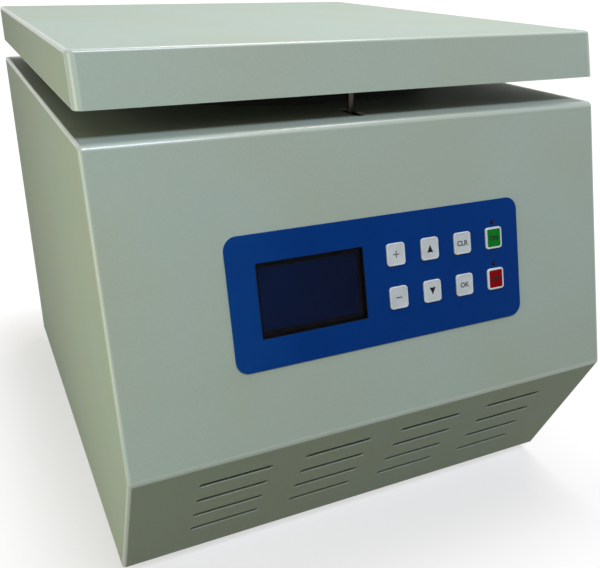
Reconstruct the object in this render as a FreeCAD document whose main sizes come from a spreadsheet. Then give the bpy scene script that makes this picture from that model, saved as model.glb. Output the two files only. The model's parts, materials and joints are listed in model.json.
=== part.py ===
import FreeCAD, Part
import math
import os
import re

import Sketcher

# Benchtop centrifuge: a folded steel cabinet with a slanted keypad face, a hinged lid, a spin chamber
# with a fixed-angle rotor on a motor, an electric lid lock, a rear fan and the mains inlet.
# Millimetres. +X is the user's right, +Y is the back, +Z is up, and z = 0 is the table.

sizes = {
    # cabinet, folded from one gauge of sheet steel
    "cabWidth": 401.6,
    "cabDepth": 450.0,
    "cabHeight": 329.0,
    "frontReach": 55.0,
    "kneeHeight": 120.5,
    "chinSet": 59.0,
    "wall": 1.5,
    "topFold": 5.0,
    "kneeFold": 6.0,
    "sideFold": 2.5,
    "rearRecess": 12.0,
    "rearFlange": 14.0,
    "sheetFit": 0.3,
    "slipFit": 0.05,
    "footHeight": 12.5,
    "footRadius": 14.0,
    "footInset": 45.0,
    "baseThick": 2.0,
    "baseLip": 15.0,
    # air slots in the panel under the face
    "ventLength": 56.0,
    "ventWidth": 5.0,
    "ventPitchAcross": 81.7,
    "ventPitchDown": 23.4,
    "ventFirst": 27.5,
    "ventColumns": 4,
    "ventRows": 4,
    # lid
    "lidGap": 19.0,
    "lidHeight": 33.5,
    "lidDepth": 435.0,
    "lidFrontSet": 2.5,
    "lidLean": 10.0,
    "lidInset": 0.5,
    "lidCorner": 5.5,
    "lidFold": 2.4,
    "linerThick": 2.0,
    "linerRise": 1.0,
    "dishDrop": 9.0,
    "dishOver": 18.0,
    "panThread": 6.0,
    # chamber
    "chamberBack": 232.0,
    "bowlRadius": 140.0,
    "bowlDepth": 150.0,
    "bowlThick": 1.2,
    "bowlCorner": 30.0,
    "bowlRim": 15.0,
    "bowlGap": 0.8,
    "collarRadius": 30.0,
    "collarHeight": 8.0,
    "guardRoom": 12.0,
    "guardThick": 6.0,
    "guardGap": 2.0,
    "gasketSet": 3.0,
    "gasketWidth": 19.0,
    "gasketChamfer": 6.0,
    "sealGap": 0.3,
    # deck that carries the chamber guard and hangs the motor
    "deckTop": 171.0,
    "deckThick": 3.0,
    "deckHalfWidth": 175.0,
    "deckFront": 168.5,
    "deckRear": 175.0,
    "deckHole": 22.0,
    "bracketThick": 2.0,
    "bracketFlange": 20.0,
    "bracketHalf": 160.0,
    # motor
    "damperHeight": 16.0,
    "damperRadius": 11.0,
    "damperOffset": 60.0,
    "flangeHalf": 75.0,
    "flangeThick": 5.0,
    "motorRadius": 60.0,
    "motorLength": 100.0,
    "motorWall": 4.0,
    "motorRoof": 6.0,
    "capHeight": 12.0,
    "capFloor": 5.0,
    "bossRadius": 19.5,
    "bossHeight": 8.0,
    "bearingRadius": 16.0,
    "bearingHeight": 9.0,
    "shaftRadius": 7.5,
    "airGap": 0.5,
    "statorInner": 38.0,
    "stackHeight": 66.0,
    "windingHeight": 8.0,
    "bearingLip": 2.0,
    "sealStep": 0.6,
    "windingWidth": 9.0,
    "shaftCollar": 4.0,
    "shaftStep": 6.0,
    "bootWall": 4.0,
    "bootFoot": 38.0,
    "bootBase": 3.2,
    "sensorSize": 8.0,
    # rotor
    "rotorTop": 300.0,
    "rotorBottom": 220.0,
    "tubeCount": 6,
    "tubeAngle": 28.0,
    "tubeRadius": 15.0,
    "tubeCircle": 60.0,
    "tubeDepth": 84.0,
    "tubeWall": 6.0,
    "hubRadius": 30.0,
    "rotorDish": 15.0,
    "rotorFoot": 8.0,
    "rotorBevel": 14.0,
    "hubRecess": 12.0,
    "spindleRadius": 8.0,
    "taperTop": 6.5,
    "threadRadius": 5.0,
    "nutRadius": 18.0,
    "nutHeight": 26.0,
    "nutRoof": 6.0,
    "nutFlutes": 10,
    "fluteRadius": 2.8,
    # keypad face; places are measured down from the cabinet's top front edge
    "overlayWidth": 238.5,
    "overlayHeight": 93.0,
    "overlayCorner": 9.5,
    "overlayThick": 0.8,
    "panelShift": -0.5,
    "panelDown": 112.5,
    "windowShift": -58.5,
    "windowLift": 0.7,
    "windowWidth": 81.4,
    "windowHeight": 52.0,
    "windowCorner": 1.0,
    "paneThick": 1.5,
    "paneLap": 2.0,
    "moduleLap": 3.5,
    "moduleThick": 7.0,
    "bezelSide": 3.0,
    "bezelEnd": 4.0,
    "bezelDepth": 2.0,
    "boardThick": 1.6,
    "boardLap": 6.0,
    "keyFirst": 8.5,
    "keyLift": 1.5,
    "keyPitchAcross": 29.0,
    "keyPitchDown": 31.7,
    "keyWidth": 15.0,
    "keyHeight": 16.5,
    "keyCorner": 2.5,
    "keyProud": 1.2,
    "keyTravel": 0.6,
    "keyFit": 0.3,
    "keyEdge": 0.6,
    "stemRadius": 4.0,
    "stemDepth": 3.6,
    "stemFit": 0.5,
    "switchHeight": 3.5,
    "switchSide": 6.0,
    "lampRadius": 1.5,
    "lampUp": 12.0,
    "standoffRadius": 2.5,
    # lid lock
    "slotWidth": 10.0,
    "slotLength": 30.0,
    "slotBack": 32.5,
    "strikerBack": 35.0,
    "strikerRadius": 2.5,
    "strikerHead": 4.0,
    "strikerReach": 28.0,
    "boltThick": 5.0,
    "boltWidth": 15.0,
    "boltRest": 6.5,
    "boltTravel": 10.0,
    "boltTail": 40.0,
    "plungerRadius": 4.8,
    "solenoidStart": 52.0,
    "solenoidLength": 36.0,
    "solenoidWidth": 26.0,
    "lockPlate": 3.0,
    "lockCheek": 9.0,
    "lockHalfDepth": 22.0,
    "lockClear": 4.0,
    "strikerFlange": 6.0,
    "strikerFlangeThick": 3.0,
    "strikerNutHeight": 4.0,
    # hinges
    "hingeBack": 427.5,
    "hingeRise": 10.0,
    "hingeOffset": 130.0,
    "pinRadius": 3.0,
    "earRadius": 7.0,
    "earThick": 6.0,
    "earInner": 18.0,
    "hingeFit": 0.5,
    "hingeLeaf": 3.0,
    "leafEdge": 4.0,
    "leafFront": 21.0,
    "armReach": 42.0,
    "armThick": 5.0,
    "pinHead": 2.0,
    # rear air slots, fan, inlet and switch
    "rearVentZ": 262.0,
    "rearVentLength": 50.0,
    "rearVentPitch": 78.0,
    "rearVentStep": 10.0,
    "fanHalf": 46.0,
    "fanDepth": 25.0,
    "fanBore": 44.0,
    "fanX": 90.0,
    "fanZ": 95.0,
    "fanHub": 18.0,
    "bladeRadius": 42.0,
    "bladeCount": 7,
    "bladeChord": 20.0,
    "bladePitch": 40.0,
    "bladeThick": 1.6,
    "axleRadius": 1.5,
    "fanArm": 4.0,
    "fanArmDepth": 4.0,
    "fanSpace": 1.5,
    "fanScrewOffset": 41.25,
    "wireRadius": 1.2,
    "eyeHeight": 3.0,
    "inletX": -120.0,
    "inletZ": 45.0,
    "inletBodyWide": 27.5,
    "inletBodyTall": 20.0,
    "inletDepth": 17.0,
    "inletWall": 2.5,
    "inletRim": 10.25,
    "inletRimTall": 4.0,
    "inletProud": 2.5,
    "inletPinPitch": 7.0,
    "inletPinDrop": 2.0,
    "inletPinThick": 2.0,
    "inletPinTall": 4.0,
    "switchX": -65.0,
    "switchBodyWide": 19.0,
    "switchBodyTall": 29.0,
    "switchDepth": 14.0,
    "switchRim": 2.0,
    "pivotDepth": 4.0,
    "wellDepth": 7.0,
    "rockerHalf": 5.5,
    "rockerReach": 12.0,
    "rockerFit": 0.4,
    "rockerTilt": 10.0,
    "pivotRadius": 1.5,
    # power electronics and wiring
    "loomRadius": 3.5,
    "drivePost": 12.0,
    "drivePostRadius": 3.0,
    "drivePostInset": 6.0,
    "driveWidth": 175.0,
    "driveDepth": 105.0,
    "driveShift": 7.5,
    "driveFront": 28.5,
    "canRadius": 15.0,
    "canHeight": 45.0,
    "canPitch": 35.0,
    "canShift": 25.0,
    "canBack": 25.0,
    "terminalWidth": 22.0,
    "terminalDepth": 20.0,
    "terminalHeight": 24.0,
    "headerInset": 10.0,
    "headerFront": 15.0,
    "headerWidth": 16.0,
    "headerDepth": 12.0,
    "headerHeight": 9.0,
    "sinkHeight": 60.0,
    "sinkFront": 5.0,
    "spineThick": 4.0,
    "finDepth": 24.0,
    "finCount": 12,
    "finPitch": 10.0,
    "finThick": 2.5,
    # M4 pan-head screws
    "screwRadius": 2.0,
    "screwHead": 4.0,
    "screwHeadHeight": 2.4,
    "screwLength": 8.0,
}

doc = FreeCAD.newDocument("centrifuge")
sheet = doc.addObject("Spreadsheet::Sheet", "sizes")
for row, (alias, size) in enumerate(sizes.items(), start=1):
    sheet.set("A%d" % row, alias)
    sheet.set("B%d" % row, str(size))
    sheet.setAlias("B%d" % row, alias)
doc.recompute()

# Named places, worked out from the sizes above
topFrontY = "(-(cabDepth - frontReach) / 2)"
kneeY = "(-(cabDepth + frontReach) / 2)"
backY = "((cabDepth + frontReach) / 2)"
chinY = "(%s + chinSet)" % kneeY
floorZ = "footHeight"
topZ = "(footHeight + cabHeight)"
kneeZ = "(footHeight + kneeHeight)"
insideX = "(cabWidth / 2 - wall)"
faceDrop = "(cabHeight - kneeHeight)"
faceSlope = "(frontReach / %s)" % faceDrop
faceSecant = "sqrt(1 + %s ^ 2)" % faceSlope
chinSlope = "(chinSet / kneeHeight)"
chinSecant = "sqrt(1 + %s ^ 2)" % chinSlope
panelY = "(%s - rearRecess)" % backY
baseTop = "(%s + baseThick)" % floorZ
chamberY = "(%s + chamberBack)" % topFrontY
lidBottom = "(%s + lidGap)" % topZ
lidTop = "(%s + lidHeight)" % lidBottom
linerBottom = "(%s + linerRise)" % lidBottom
dishBottom = "(%s - dishDrop)" % linerBottom
bowlFloor = "(%s - bowlDepth)" % topZ
bowlEdge = "(bowlRadius + bowlRim)"
gasketInner = "(bowlRadius + gasketSet)"
gasketOuter = "(%s + gasketWidth)" % gasketInner
guardInner = "(bowlRadius + guardRoom)"
dishRadius = "(bowlRadius + dishOver)"
deckBottom = "(deckTop - deckThick)"
flangeTop = "(%s - damperHeight)" % deckBottom
motorTop = "(%s - flangeThick)" % flangeTop
motorBottom = "(%s - motorLength)" % motorTop
capBottom = "(%s - capHeight)" % motorBottom
hingeY = "(%s + hingeBack)" % topFrontY
hingeZ = "(%s + hingeRise)" % topZ
strikerY = "(%s + strikerBack)" % topFrontY
headTop = "(%s - strikerReach + strikerHead)" % topZ
boltLow = "(%s + sheetFit)" % headTop
boltMid = "(%s + boltThick / 2)" % boltLow
taperHigh = "(rotorTop - rotorDish)"

word = re.compile(r"[A-Za-z]+")


def bound(text):
    # each size's name becomes a reference to its cell
    return word.sub(lambda found: ("sizes." if found.group() in sizes else "") + found.group(), str(text))


def value(text):
    result = sheet.evalExpression(bound(text))
    return float(getattr(result, "Value", result))


def place(thing, x="0", y="0", z="0", axis=None, angle="0"):
    if axis is not None:
        thing.Placement = FreeCAD.Placement(
            FreeCAD.Vector(), FreeCAD.Rotation(FreeCAD.Vector(*axis), value(angle))
        )
        thing.setExpression("Placement.Rotation.Angle", bound(angle))
    for name, text in zip("xyz", (x, y, z)):
        thing.setExpression("Placement.Base." + name, bound(text))
    return thing


# Local frames: x across, y up the slope or panel, z out of the panel
def onFace(thing):
    return place(thing, "0", topFrontY, topZ, (1, 0, 0), "90 deg - atan(%s)" % faceSlope)


def onChin(thing):
    return place(thing, "0", kneeY, kneeZ, (1, 0, 0), "90 deg + atan(%s)" % chinSlope)


def atFan(thing):
    return place(thing, "fanX", "%s - wall" % panelY, "fanZ", (1, 0, 0), "-90")


# Plain solids
def box(x, y, z):
    thing = doc.addObject("Part::Box", "block")
    for side, (low, high) in (("Length", x), ("Width", y), ("Height", z)):
        thing.setExpression(side, bound("(%s) - (%s)" % (high, low)))
    return place(thing, x[0], y[0], z[0])


def cylinder(radius, low, high, across=("0", "0"), along="z"):
    thing = doc.addObject("Part::Cylinder", "round")
    thing.setExpression("Radius", bound(radius))
    thing.setExpression("Height", bound("(%s) - (%s)" % (high, low)))
    if along == "x":
        return place(thing, low, across[0], across[1], (0, 1, 0), "90")
    if along == "y":
        return place(thing, across[0], low, across[1], (1, 0, 0), "-90")
    return place(thing, across[0], across[1], low)


def fuse(*parts):
    thing = doc.addObject("Part::MultiFuse", "joined")
    thing.Shapes = list(parts)
    thing.Refine = True
    return thing


def group(*parts):
    thing = doc.addObject("Part::Compound", "group")
    thing.Links = list(parts)
    return thing


def cut(base, *tools):
    thing = doc.addObject("Part::Cut", "opened")
    thing.Base = base
    thing.Tool = tools[0] if len(tools) == 1 else fuse(*tools)
    thing.Refine = True
    return thing


# Sketched bodies
def sketchIn(body, role, offset="0"):
    sketch = body.newObject("Sketcher::SketchObject", "outline")
    plane = [feature for feature in body.Origin.OriginFeatures if feature.Role == role][0]
    sketch.AttachmentSupport = [(plane, "")]
    sketch.MapMode = "FlatFace"
    sketch.setExpression("AttachmentOffset.Base.z", bound(offset))
    return sketch


def tie(sketch, geometry, position, x, y):
    for kind, text in (("DistanceX", x), ("DistanceY", y)):
        index = sketch.addConstraint(
            Sketcher.Constraint(kind, -1, 1, geometry, position, value(text))
        )
        sketch.setExpression("Constraints[%d]" % index, bound(text))


def drawPolygon(sketch, points):
    first = sketch.GeometryCount
    spots = [FreeCAD.Vector(value(x), value(y), 0) for x, y in points]
    for start, end in zip(spots, spots[1:] + spots[:1]):
        sketch.addGeometry(Part.LineSegment(start, end), False)
    for index in range(len(points)):
        following = (index + 1) % len(points)
        sketch.addConstraint(Sketcher.Constraint("Coincident", first + index, 2, first + following, 1))
    for index, (x, y) in enumerate(points):
        tie(sketch, first + index, 1, x, y)


def drawRounded(sketch, corners):
    # corners are circles (x, y, radius), and the outline is the belt around them
    first = sketch.GeometryCount
    upright = FreeCAD.Vector(0, 0, 1)
    spots = [(FreeCAD.Vector(value(x), value(y), 0), value(radius)) for x, y, radius in corners]
    if len(spots) == 1:
        sketch.addGeometry(Part.Circle(spots[0][0], upright, spots[0][1]), False)
        arcs = [first]
    else:
        outward = []
        for (start, startRadius), (end, endRadius) in zip(spots, spots[1:] + spots[:1]):
            along = end - start
            lean = (startRadius - endRadius) / along.Length
            along.normalize()
            right = FreeCAD.Vector(along.y, -along.x, 0)
            outward.append(along * lean + right * math.sqrt(1 - lean * lean))
        for index, (centre, radius) in enumerate(spots):
            before, after = outward[index - 1], outward[index]
            following = spots[(index + 1) % len(spots)]
            turn = [math.atan2(normal.y, normal.x) for normal in (before, after)]
            circle = Part.Circle(centre, upright, radius)
            sketch.addGeometry(Part.ArcOfCircle(circle, turn[0], turn[1]), False)
            line = Part.LineSegment(centre + after * radius, following[0] + after * following[1])
            sketch.addGeometry(line, False)
        arcs = [first + 2 * index for index in range(len(spots))]
        for index, arc in enumerate(arcs):
            following = arcs[(index + 1) % len(arcs)]
            sketch.addConstraint(Sketcher.Constraint("Tangent", arc, 2, arc + 1, 1))
            sketch.addConstraint(Sketcher.Constraint("Tangent", arc + 1, 2, following, 1))
    for arc, (x, y, radius) in zip(arcs, corners):
        tie(sketch, arc, 3, x, y)
        index = sketch.addConstraint(Sketcher.Constraint("Radius", arc, value(radius)))
        sketch.setExpression("Constraints[%d]" % index, bound(radius))


def draw(sketch, *outlines):
    for outline in outlines:
        if len(outline[0]) == 2:
            drawPolygon(sketch, outline)
        else:
            drawRounded(sketch, outline)
    return sketch


def rectangle(x, y, width, height, corner):
    halfX, halfY = "(%s) / 2 - (%s)" % (width, corner), "(%s) / 2 - (%s)" % (height, corner)
    return [
        ("(%s) %s (%s)" % (x, signX, halfX), "(%s) %s (%s)" % (y, signY, halfY), corner)
        for signX, signY in (("-", "-"), ("+", "-"), ("+", "+"), ("-", "+"))
    ]


def slot(x, y, length, width):
    reach = "((%s) - (%s)) / 2" % (length, width)
    return [
        ("(%s) - (%s)" % (x, reach), y, "(%s) / 2" % width),
        ("(%s) + (%s)" % (x, reach), y, "(%s) / 2" % width),
    ]


def circle(x, y, radius):
    return [(x, y, radius)]


def padded(outlines, low, high, role="XY_Plane"):
    body = doc.addObject("PartDesign::Body", "plate")
    offset = "-(%s)" % high if role == "XZ_Plane" else low
    sketch = draw(sketchIn(body, role, offset), *outlines)
    pad = body.newObject("PartDesign::Pad", "pad")
    pad.Profile = sketch
    pad.setExpression("Length", bound("(%s) - (%s)" % (high, low)))
    return body


def turned(profile, x="0", y="0"):
    body = doc.addObject("PartDesign::Body", "turning")
    sketch = draw(sketchIn(body, "XZ_Plane"), profile)
    turn = body.newObject("PartDesign::Revolution", "turn")
    turn.Profile = sketch
    turn.ReferenceAxis = (sketch, ["V_Axis"])
    turn.Angle = 360
    return place(body, x, y)


def pattern(body, kind, original, **settings):
    copies = body.newObject("PartDesign::" + kind, "copies")
    copies.Originals = [original]
    for name, setting in settings.items():
        if isinstance(setting, str):
            copies.setExpression(name, bound(setting))
        else:
            setattr(copies, name, setting)
    body.Tip = copies
    return copies


def soften(body, radius, chosen):
    doc.recompute()
    tip = body.Tip
    names = ["Edge%d" % (index + 1) for index, edge in enumerate(tip.Shape.Edges) if chosen(edge)]
    fold = body.newObject("PartDesign::Fillet", "fold")
    fold.Base = (tip, names)
    fold.setExpression("Radius", bound(radius))
    return fold


def pocket(body, outlines, low, high, role="XY_Plane"):
    # takes material from low up to high along the plane's normal
    sketch = draw(sketchIn(body, role, high), *outlines)
    hole = body.newObject("PartDesign::Pocket", "pocket")
    hole.Profile = sketch
    hole.setExpression("Length", bound("(%s) - (%s)" % (high, low)))
    return hole


def near(first, second, slack=0.01):
    return abs(first - second) < slack


subParts = []


def named(label, thing):
    thing.Label = label
    subParts.append(thing)
    return thing


def screw(x, y, z, along, sign, length="screwLength"):
    # the head stands on the given point, and the shank goes the other way
    spots = {"x": (x, (y, z)), "y": (y, (x, z)), "z": (z, (x, y))}
    seat, across = spots[along]
    up = "(%s) + %s" if sign > 0 else "(%s) - %s"
    down = "(%s) - %s" if sign > 0 else "(%s) + %s"
    head = [seat, up % (seat, "screwHeadHeight")]
    shank = [down % (seat, length), seat]
    if sign < 0:
        head.reverse()
        shank.reverse()
    return fuse(
        cylinder("screwHead", head[0], head[1], across, along),
        cylinder("screwRadius", shank[0], shank[1], across, along),
    )


def mirrored(text, sign):
    return "%d * (%s)" % (sign, text)


# Places that several pieces share
keyColumns = ["keyFirst + %d * keyPitchAcross" % column for column in range(4)]
keyRows = ["(keyLift - panelDown + %s * keyPitchDown)" % row for row in ("0.5", "-0.5")]
lampSpots = [(keyColumns[3], "%s + lampUp" % row) for row in keyRows]
windowAt = ("windowShift", "(windowLift - panelDown)")
overlayAt = ("panelShift", "-panelDown")
boardZ = "-(stemDepth + keyTravel + sheetFit + switchHeight)"
moduleBack = "-(wall + paneThick + moduleThick)"
moduleBoard = (
    "(windowWidth + 2 * moduleLap + 2 * boardLap)",
    "(windowHeight + 2 * moduleLap + 2 * boardLap)",
)
keyBoardX = (
    "(keyFirst - keyWidth / 2 - boardLap)",
    "(keyFirst + 3 * keyPitchAcross + keyWidth / 2 + boardLap)",
)
keyBoardHalf = "(keyPitchDown / 2 + keyHeight / 2 + lampUp / 2 + boardLap)"
footSpots = [
    (mirrored("cabWidth / 2 - footInset", side), y)
    for side in (-1, 1)
    for y in ("%s + footInset" % chinY, "%s - footInset" % backY)
]
panelScrewSpots = [
    (mirrored("%s - rearFlange / 2" % insideX, side), "%s + %s * cabHeight" % (floorZ, share))
    for side in (-1, 1)
    for share in ("0.12", "0.5", "0.88")
]
fanScrewSpots = [
    ("fanX + %d * fanScrewOffset" % across, "fanZ + %d * fanScrewOffset" % up)
    for across in (-1, 1)
    for up in (-1, 1)
]
hingeScrewSpots = [
    (
        "%d * hingeOffset + %d * (earInner + earThick) / 2" % (side, step),
        "%s - (leafFront + earRadius) / 2" % hingeY,
    )
    for side in (-1, 1)
    for step in (-1, 1)
]


def keyOutline(x, y, grow="0"):
    return rectangle(
        x, y, "keyWidth + 2 * (%s)" % grow, "keyHeight + 2 * (%s)" % grow, "keyCorner + (%s)" % grow
    )


# Cabinet shell: top, slanted face, slotted panel under it and both sides, with a rear return flange
def cabinetShell():
    body = doc.addObject("PartDesign::Body", "shellBlank")
    outline = [
        (kneeY, kneeZ),
        (chinY, floorZ),
        (backY, floorZ),
        (backY, topZ),
        (topFrontY, topZ),
    ]
    sketch = draw(sketchIn(body, "YZ_Plane"), outline)
    pad = body.newObject("PartDesign::Pad", "pad")
    pad.Profile = sketch
    pad.SideType = "Symmetric"
    pad.setExpression("Length", bound("cabWidth"))

    def acrossAt(y, z):
        return lambda edge: (
            near(edge.BoundBox.YLength, 0)
            and near(edge.BoundBox.ZLength, 0)
            and near(edge.CenterOfMass.y, value(y))
            and near(edge.CenterOfMass.z, value(z))
        )

    soften(body, "topFold", acrossAt(topFrontY, topZ))
    soften(body, "kneeFold", acrossAt(kneeY, kneeZ))

    def sideOutline(edge):
        onSide = near(edge.BoundBox.XLength, 0) and near(abs(edge.CenterOfMass.x), value("cabWidth / 2"))
        atBack = near(edge.CenterOfMass.y, value(backY))
        atFloor = near(edge.CenterOfMass.z, value(floorZ))
        return onSide and not atBack and not atFloor

    soften(body, "sideFold", sideOutline)
    # the inner line runs one wall inside each outer panel
    kneeUp = "(wall * (%s - %s) / (%s + %s))" % (chinSecant, faceSecant, faceSlope, chinSlope)
    below = "(%s - wall)" % floorZ
    inner = [
        ("%s + %s * %s + wall * %s" % (kneeY, kneeUp, faceSlope, faceSecant), "%s + %s" % (kneeZ, kneeUp)),
        ("%s + wall * %s + wall * %s" % (chinY, chinSecant, chinSlope), below),
        ("%s - 2 * wall" % panelY, below),
        ("%s - 2 * wall" % panelY, "%s - wall" % topZ),
        ("%s - wall * %s + wall * %s" % (topFrontY, faceSlope, faceSecant), "%s - wall" % topZ),
    ]
    hollow = body.newObject("PartDesign::Pocket", "hollow")
    hollow.Profile = draw(sketchIn(body, "YZ_Plane"), inner)
    hollow.setExpression("Length", bound("2 * %s" % insideX))
    hollow.SideType = "Symmetric"
    mouth = box(
        ("-(%s - rearFlange)" % insideX, "%s - rearFlange" % insideX),
        ("%s - 3 * wall" % panelY, "%s + wall" % backY),
        (below, "%s - wall - rearFlange" % topZ),
    )
    recess = box(
        ("-" + insideX, insideX),
        ("%s - wall" % panelY, "%s + wall" % backY),
        (below, "%s - wall" % topZ),
    )
    through = ("-3 * wall", "3 * wall")
    faceCuts = onFace(
        group(
            padded([rectangle(*windowAt, "windowWidth", "windowHeight", "windowCorner")], *through),
            *[
                cylinder("stemRadius + stemFit", *through, (x, y))
                for x in keyColumns
                for y in keyRows
            ],
            *[cylinder("lampRadius + keyFit", *through, spot) for spot in lampSpots],
        )
    )
    vents = padded([slot("0", "0", "ventLength", "ventWidth")], *through)
    pattern(
        vents,
        "LinearPattern",
        vents.Group[-1],
        Direction=(vents.Group[0], ["H_Axis"]),
        Length="(ventColumns - 1) * ventPitchAcross",
        Occurrences="ventColumns",
        Direction2=(vents.Group[0], ["V_Axis"]),
        Length2="(ventRows - 1) * ventPitchDown",
        Occurrences2="ventRows",
    )
    place(vents, "-(ventColumns - 1) * ventPitchAcross / 2", "-(ventFirst + (ventRows - 1) * ventPitchDown)")
    top = ("%s - 3 * wall" % topZ, "%s + wall" % topZ)
    topCuts = group(
        cylinder("bowlRadius + bowlThick + bowlGap", *top, ("0", chamberY)),
        place(
            padded([slot("0", "0", "slotLength", "slotWidth")], *through),
            "0",
            "%s + slotBack" % topFrontY,
            topZ,
            (0, 0, 1),
            "90",
        ),
        *[cylinder("screwRadius", *top, spot) for spot in hingeScrewSpots],
    )
    screwHoles = group(
        *[cylinder("screwRadius", "%s - 3 * wall" % panelY, panelY, spot, "y") for spot in panelScrewSpots]
    )
    opened = cut(body, fuse(mouth, recess))
    for tools in (faceCuts, onChin(group(vents)), topCuts, screwHoles):
        opened = cut(opened, tools)
    named("cabinet_shell", opened)


# Base tray, feet and the rear panel
def baseAndRear():
    baseX = "(%s - sheetFit)" % insideX
    baseFront = "(%s + wall * %s + sheetFit)" % (chinY, chinSecant)
    baseBack = "(%s - 2 * wall - sheetFit)" % panelY
    tray = box(("-" + baseX, baseX), (baseFront, baseBack), (floorZ, "%s + baseLip" % floorZ))
    hollow = box(
        ("-(%s - baseThick)" % baseX, "%s - baseThick" % baseX),
        ("%s - baseThick" % baseFront, "%s - baseThick" % baseBack),
        (baseTop, "%s + 2 * baseLip" % floorZ),
    )
    holes = [cylinder("screwRadius", "%s - 1" % floorZ, "%s + 1" % baseTop, spot) for spot in footSpots]
    named("base_plate", cut(tray, hollow, *holes))
    footProfile = [
        ("screwRadius", "footHeight"),
        ("screwRadius", "footHeight / 2"),
        ("screwHead + 1", "footHeight / 2"),
        ("screwHead + 1", "0"),
        ("footRadius", "0"),
        ("footRadius - 2", "footHeight"),
    ]
    named("rubber_feet", group(*[turned(footProfile, *spot) for spot in footSpots]))
    panel = padded(
        [
            rectangle(
                "0", "%s + (cabHeight - wall) / 2" % floorZ, "2 * (%s - sheetFit)" % insideX,
                "cabHeight - wall - 2 * sheetFit", "wall",
            ),
            circle("fanX", "fanZ", "fanBore - 1"),
            rectangle("inletX", "inletZ", "inletBodyWide", "inletBodyTall", "1"),
            rectangle("switchX", "inletZ", "switchBodyWide", "switchBodyTall", "1"),
            *[circle(*spot, "screwRadius") for spot in panelScrewSpots + fanScrewSpots],
        ],
        "%s - wall" % panelY,
        panelY,
        "XZ_Plane",
    )
    slots = pocket(panel, [slot("-rearVentPitch * 1.5", "rearVentZ", "rearVentLength", "ventWidth")],
                   "-(%s + 1)" % panelY, "-(%s - wall - 1)" % panelY, "XZ_Plane")
    pattern(
        panel,
        "LinearPattern",
        slots,
        Direction=(slots.Profile[0], ["H_Axis"]),
        Length="3 * rearVentPitch",
        Occurrences=4,
        Direction2=(slots.Profile[0], ["V_Axis"]),
        Length2="4 * rearVentStep",
        Occurrences2=5,
    )
    named("rear_panel", panel)


# Bowl, guard, gasket, deck and its two brackets
def chamber():
    outer = "(bowlRadius + bowlThick)"
    bowl = turned(
        [
            (bowlEdge, topZ),
            (bowlEdge, "%s + bowlThick" % topZ),
            ("bowlRadius", "%s + bowlThick" % topZ),
            ("bowlRadius", bowlFloor),
            ("collarRadius", bowlFloor),
            ("collarRadius", "%s + collarHeight" % bowlFloor),
            ("collarRadius - bowlThick", "%s + collarHeight" % bowlFloor),
            ("collarRadius - bowlThick", "%s - bowlThick" % bowlFloor),
            (outer, "%s - bowlThick" % bowlFloor),
            (outer, topZ),
        ],
        "0",
        chamberY,
    )

    def ringAt(radius, z):
        return lambda edge: (
            near(edge.BoundBox.XLength, 2 * value(radius), 0.2)
            and near(edge.BoundBox.ZLength, 0)
            and near(edge.CenterOfMass.z, value(z))
        )

    soften(bowl, "bowlCorner", ringAt("bowlRadius", bowlFloor))
    soften(bowl, "bowlCorner + bowlThick", ringAt(outer, "%s - bowlThick" % bowlFloor))
    named("chamber_bowl", bowl)
    guardTop = "(%s - wall - guardGap)" % topZ
    at = ("0", chamberY)
    named(
        "guard_ring",
        cut(
            cylinder("%s + guardThick" % guardInner, "deckTop", guardTop, at),
            cylinder(guardInner, "0", lidTop, at),
        ),
    )
    sealTop = "(%s - sealGap)" % dishBottom
    named(
        "chamber_gasket",
        turned(
            [
                (gasketInner, "%s + bowlThick" % topZ),
                ("%s + sealGap" % bowlEdge, "%s + bowlThick" % topZ),
                ("%s + sealGap" % bowlEdge, topZ),
                (gasketOuter, topZ),
                (gasketOuter, "(%s + %s) / 2" % (topZ, sealTop)),
                ("%s - gasketChamfer" % gasketOuter, sealTop),
                ("%s + gasketChamfer" % gasketInner, sealTop),
                (gasketInner, "(%s + %s) / 2" % (topZ, sealTop)),
            ],
            *at,
        ),
    )
    deck = box(
        ("-deckHalfWidth", "deckHalfWidth"),
        ("%s - deckFront" % chamberY, "%s + deckRear" % chamberY),
        (deckBottom, "deckTop"),
    )
    named("mid_deck", cut(deck, cylinder("deckHole", "0", lidTop, at)))
    for side, label in ((-1, "deck_bracket_left"), (1, "deck_bracket_right")):
        web, lip = "deckHalfWidth", "(deckHalfWidth - bracketFlange)"
        thin = "bracketThick"
        corners = [
            (web, baseTop),
            (web, deckBottom),
            (lip, deckBottom),
            (lip, "%s - %s" % (deckBottom, thin)),
            ("%s - %s" % (web, thin), "%s - %s" % (deckBottom, thin)),
            ("%s - %s" % (web, thin), "%s + %s" % (baseTop, thin)),
            (lip, "%s + %s" % (baseTop, thin)),
            (lip, baseTop),
        ]
        outline = [(mirrored(x, side), z) for x, z in corners]
        named(
            label,
            padded([outline], "%s - bracketHalf" % chamberY, "%s + bracketHalf" % chamberY, "XZ_Plane"),
        )


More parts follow.
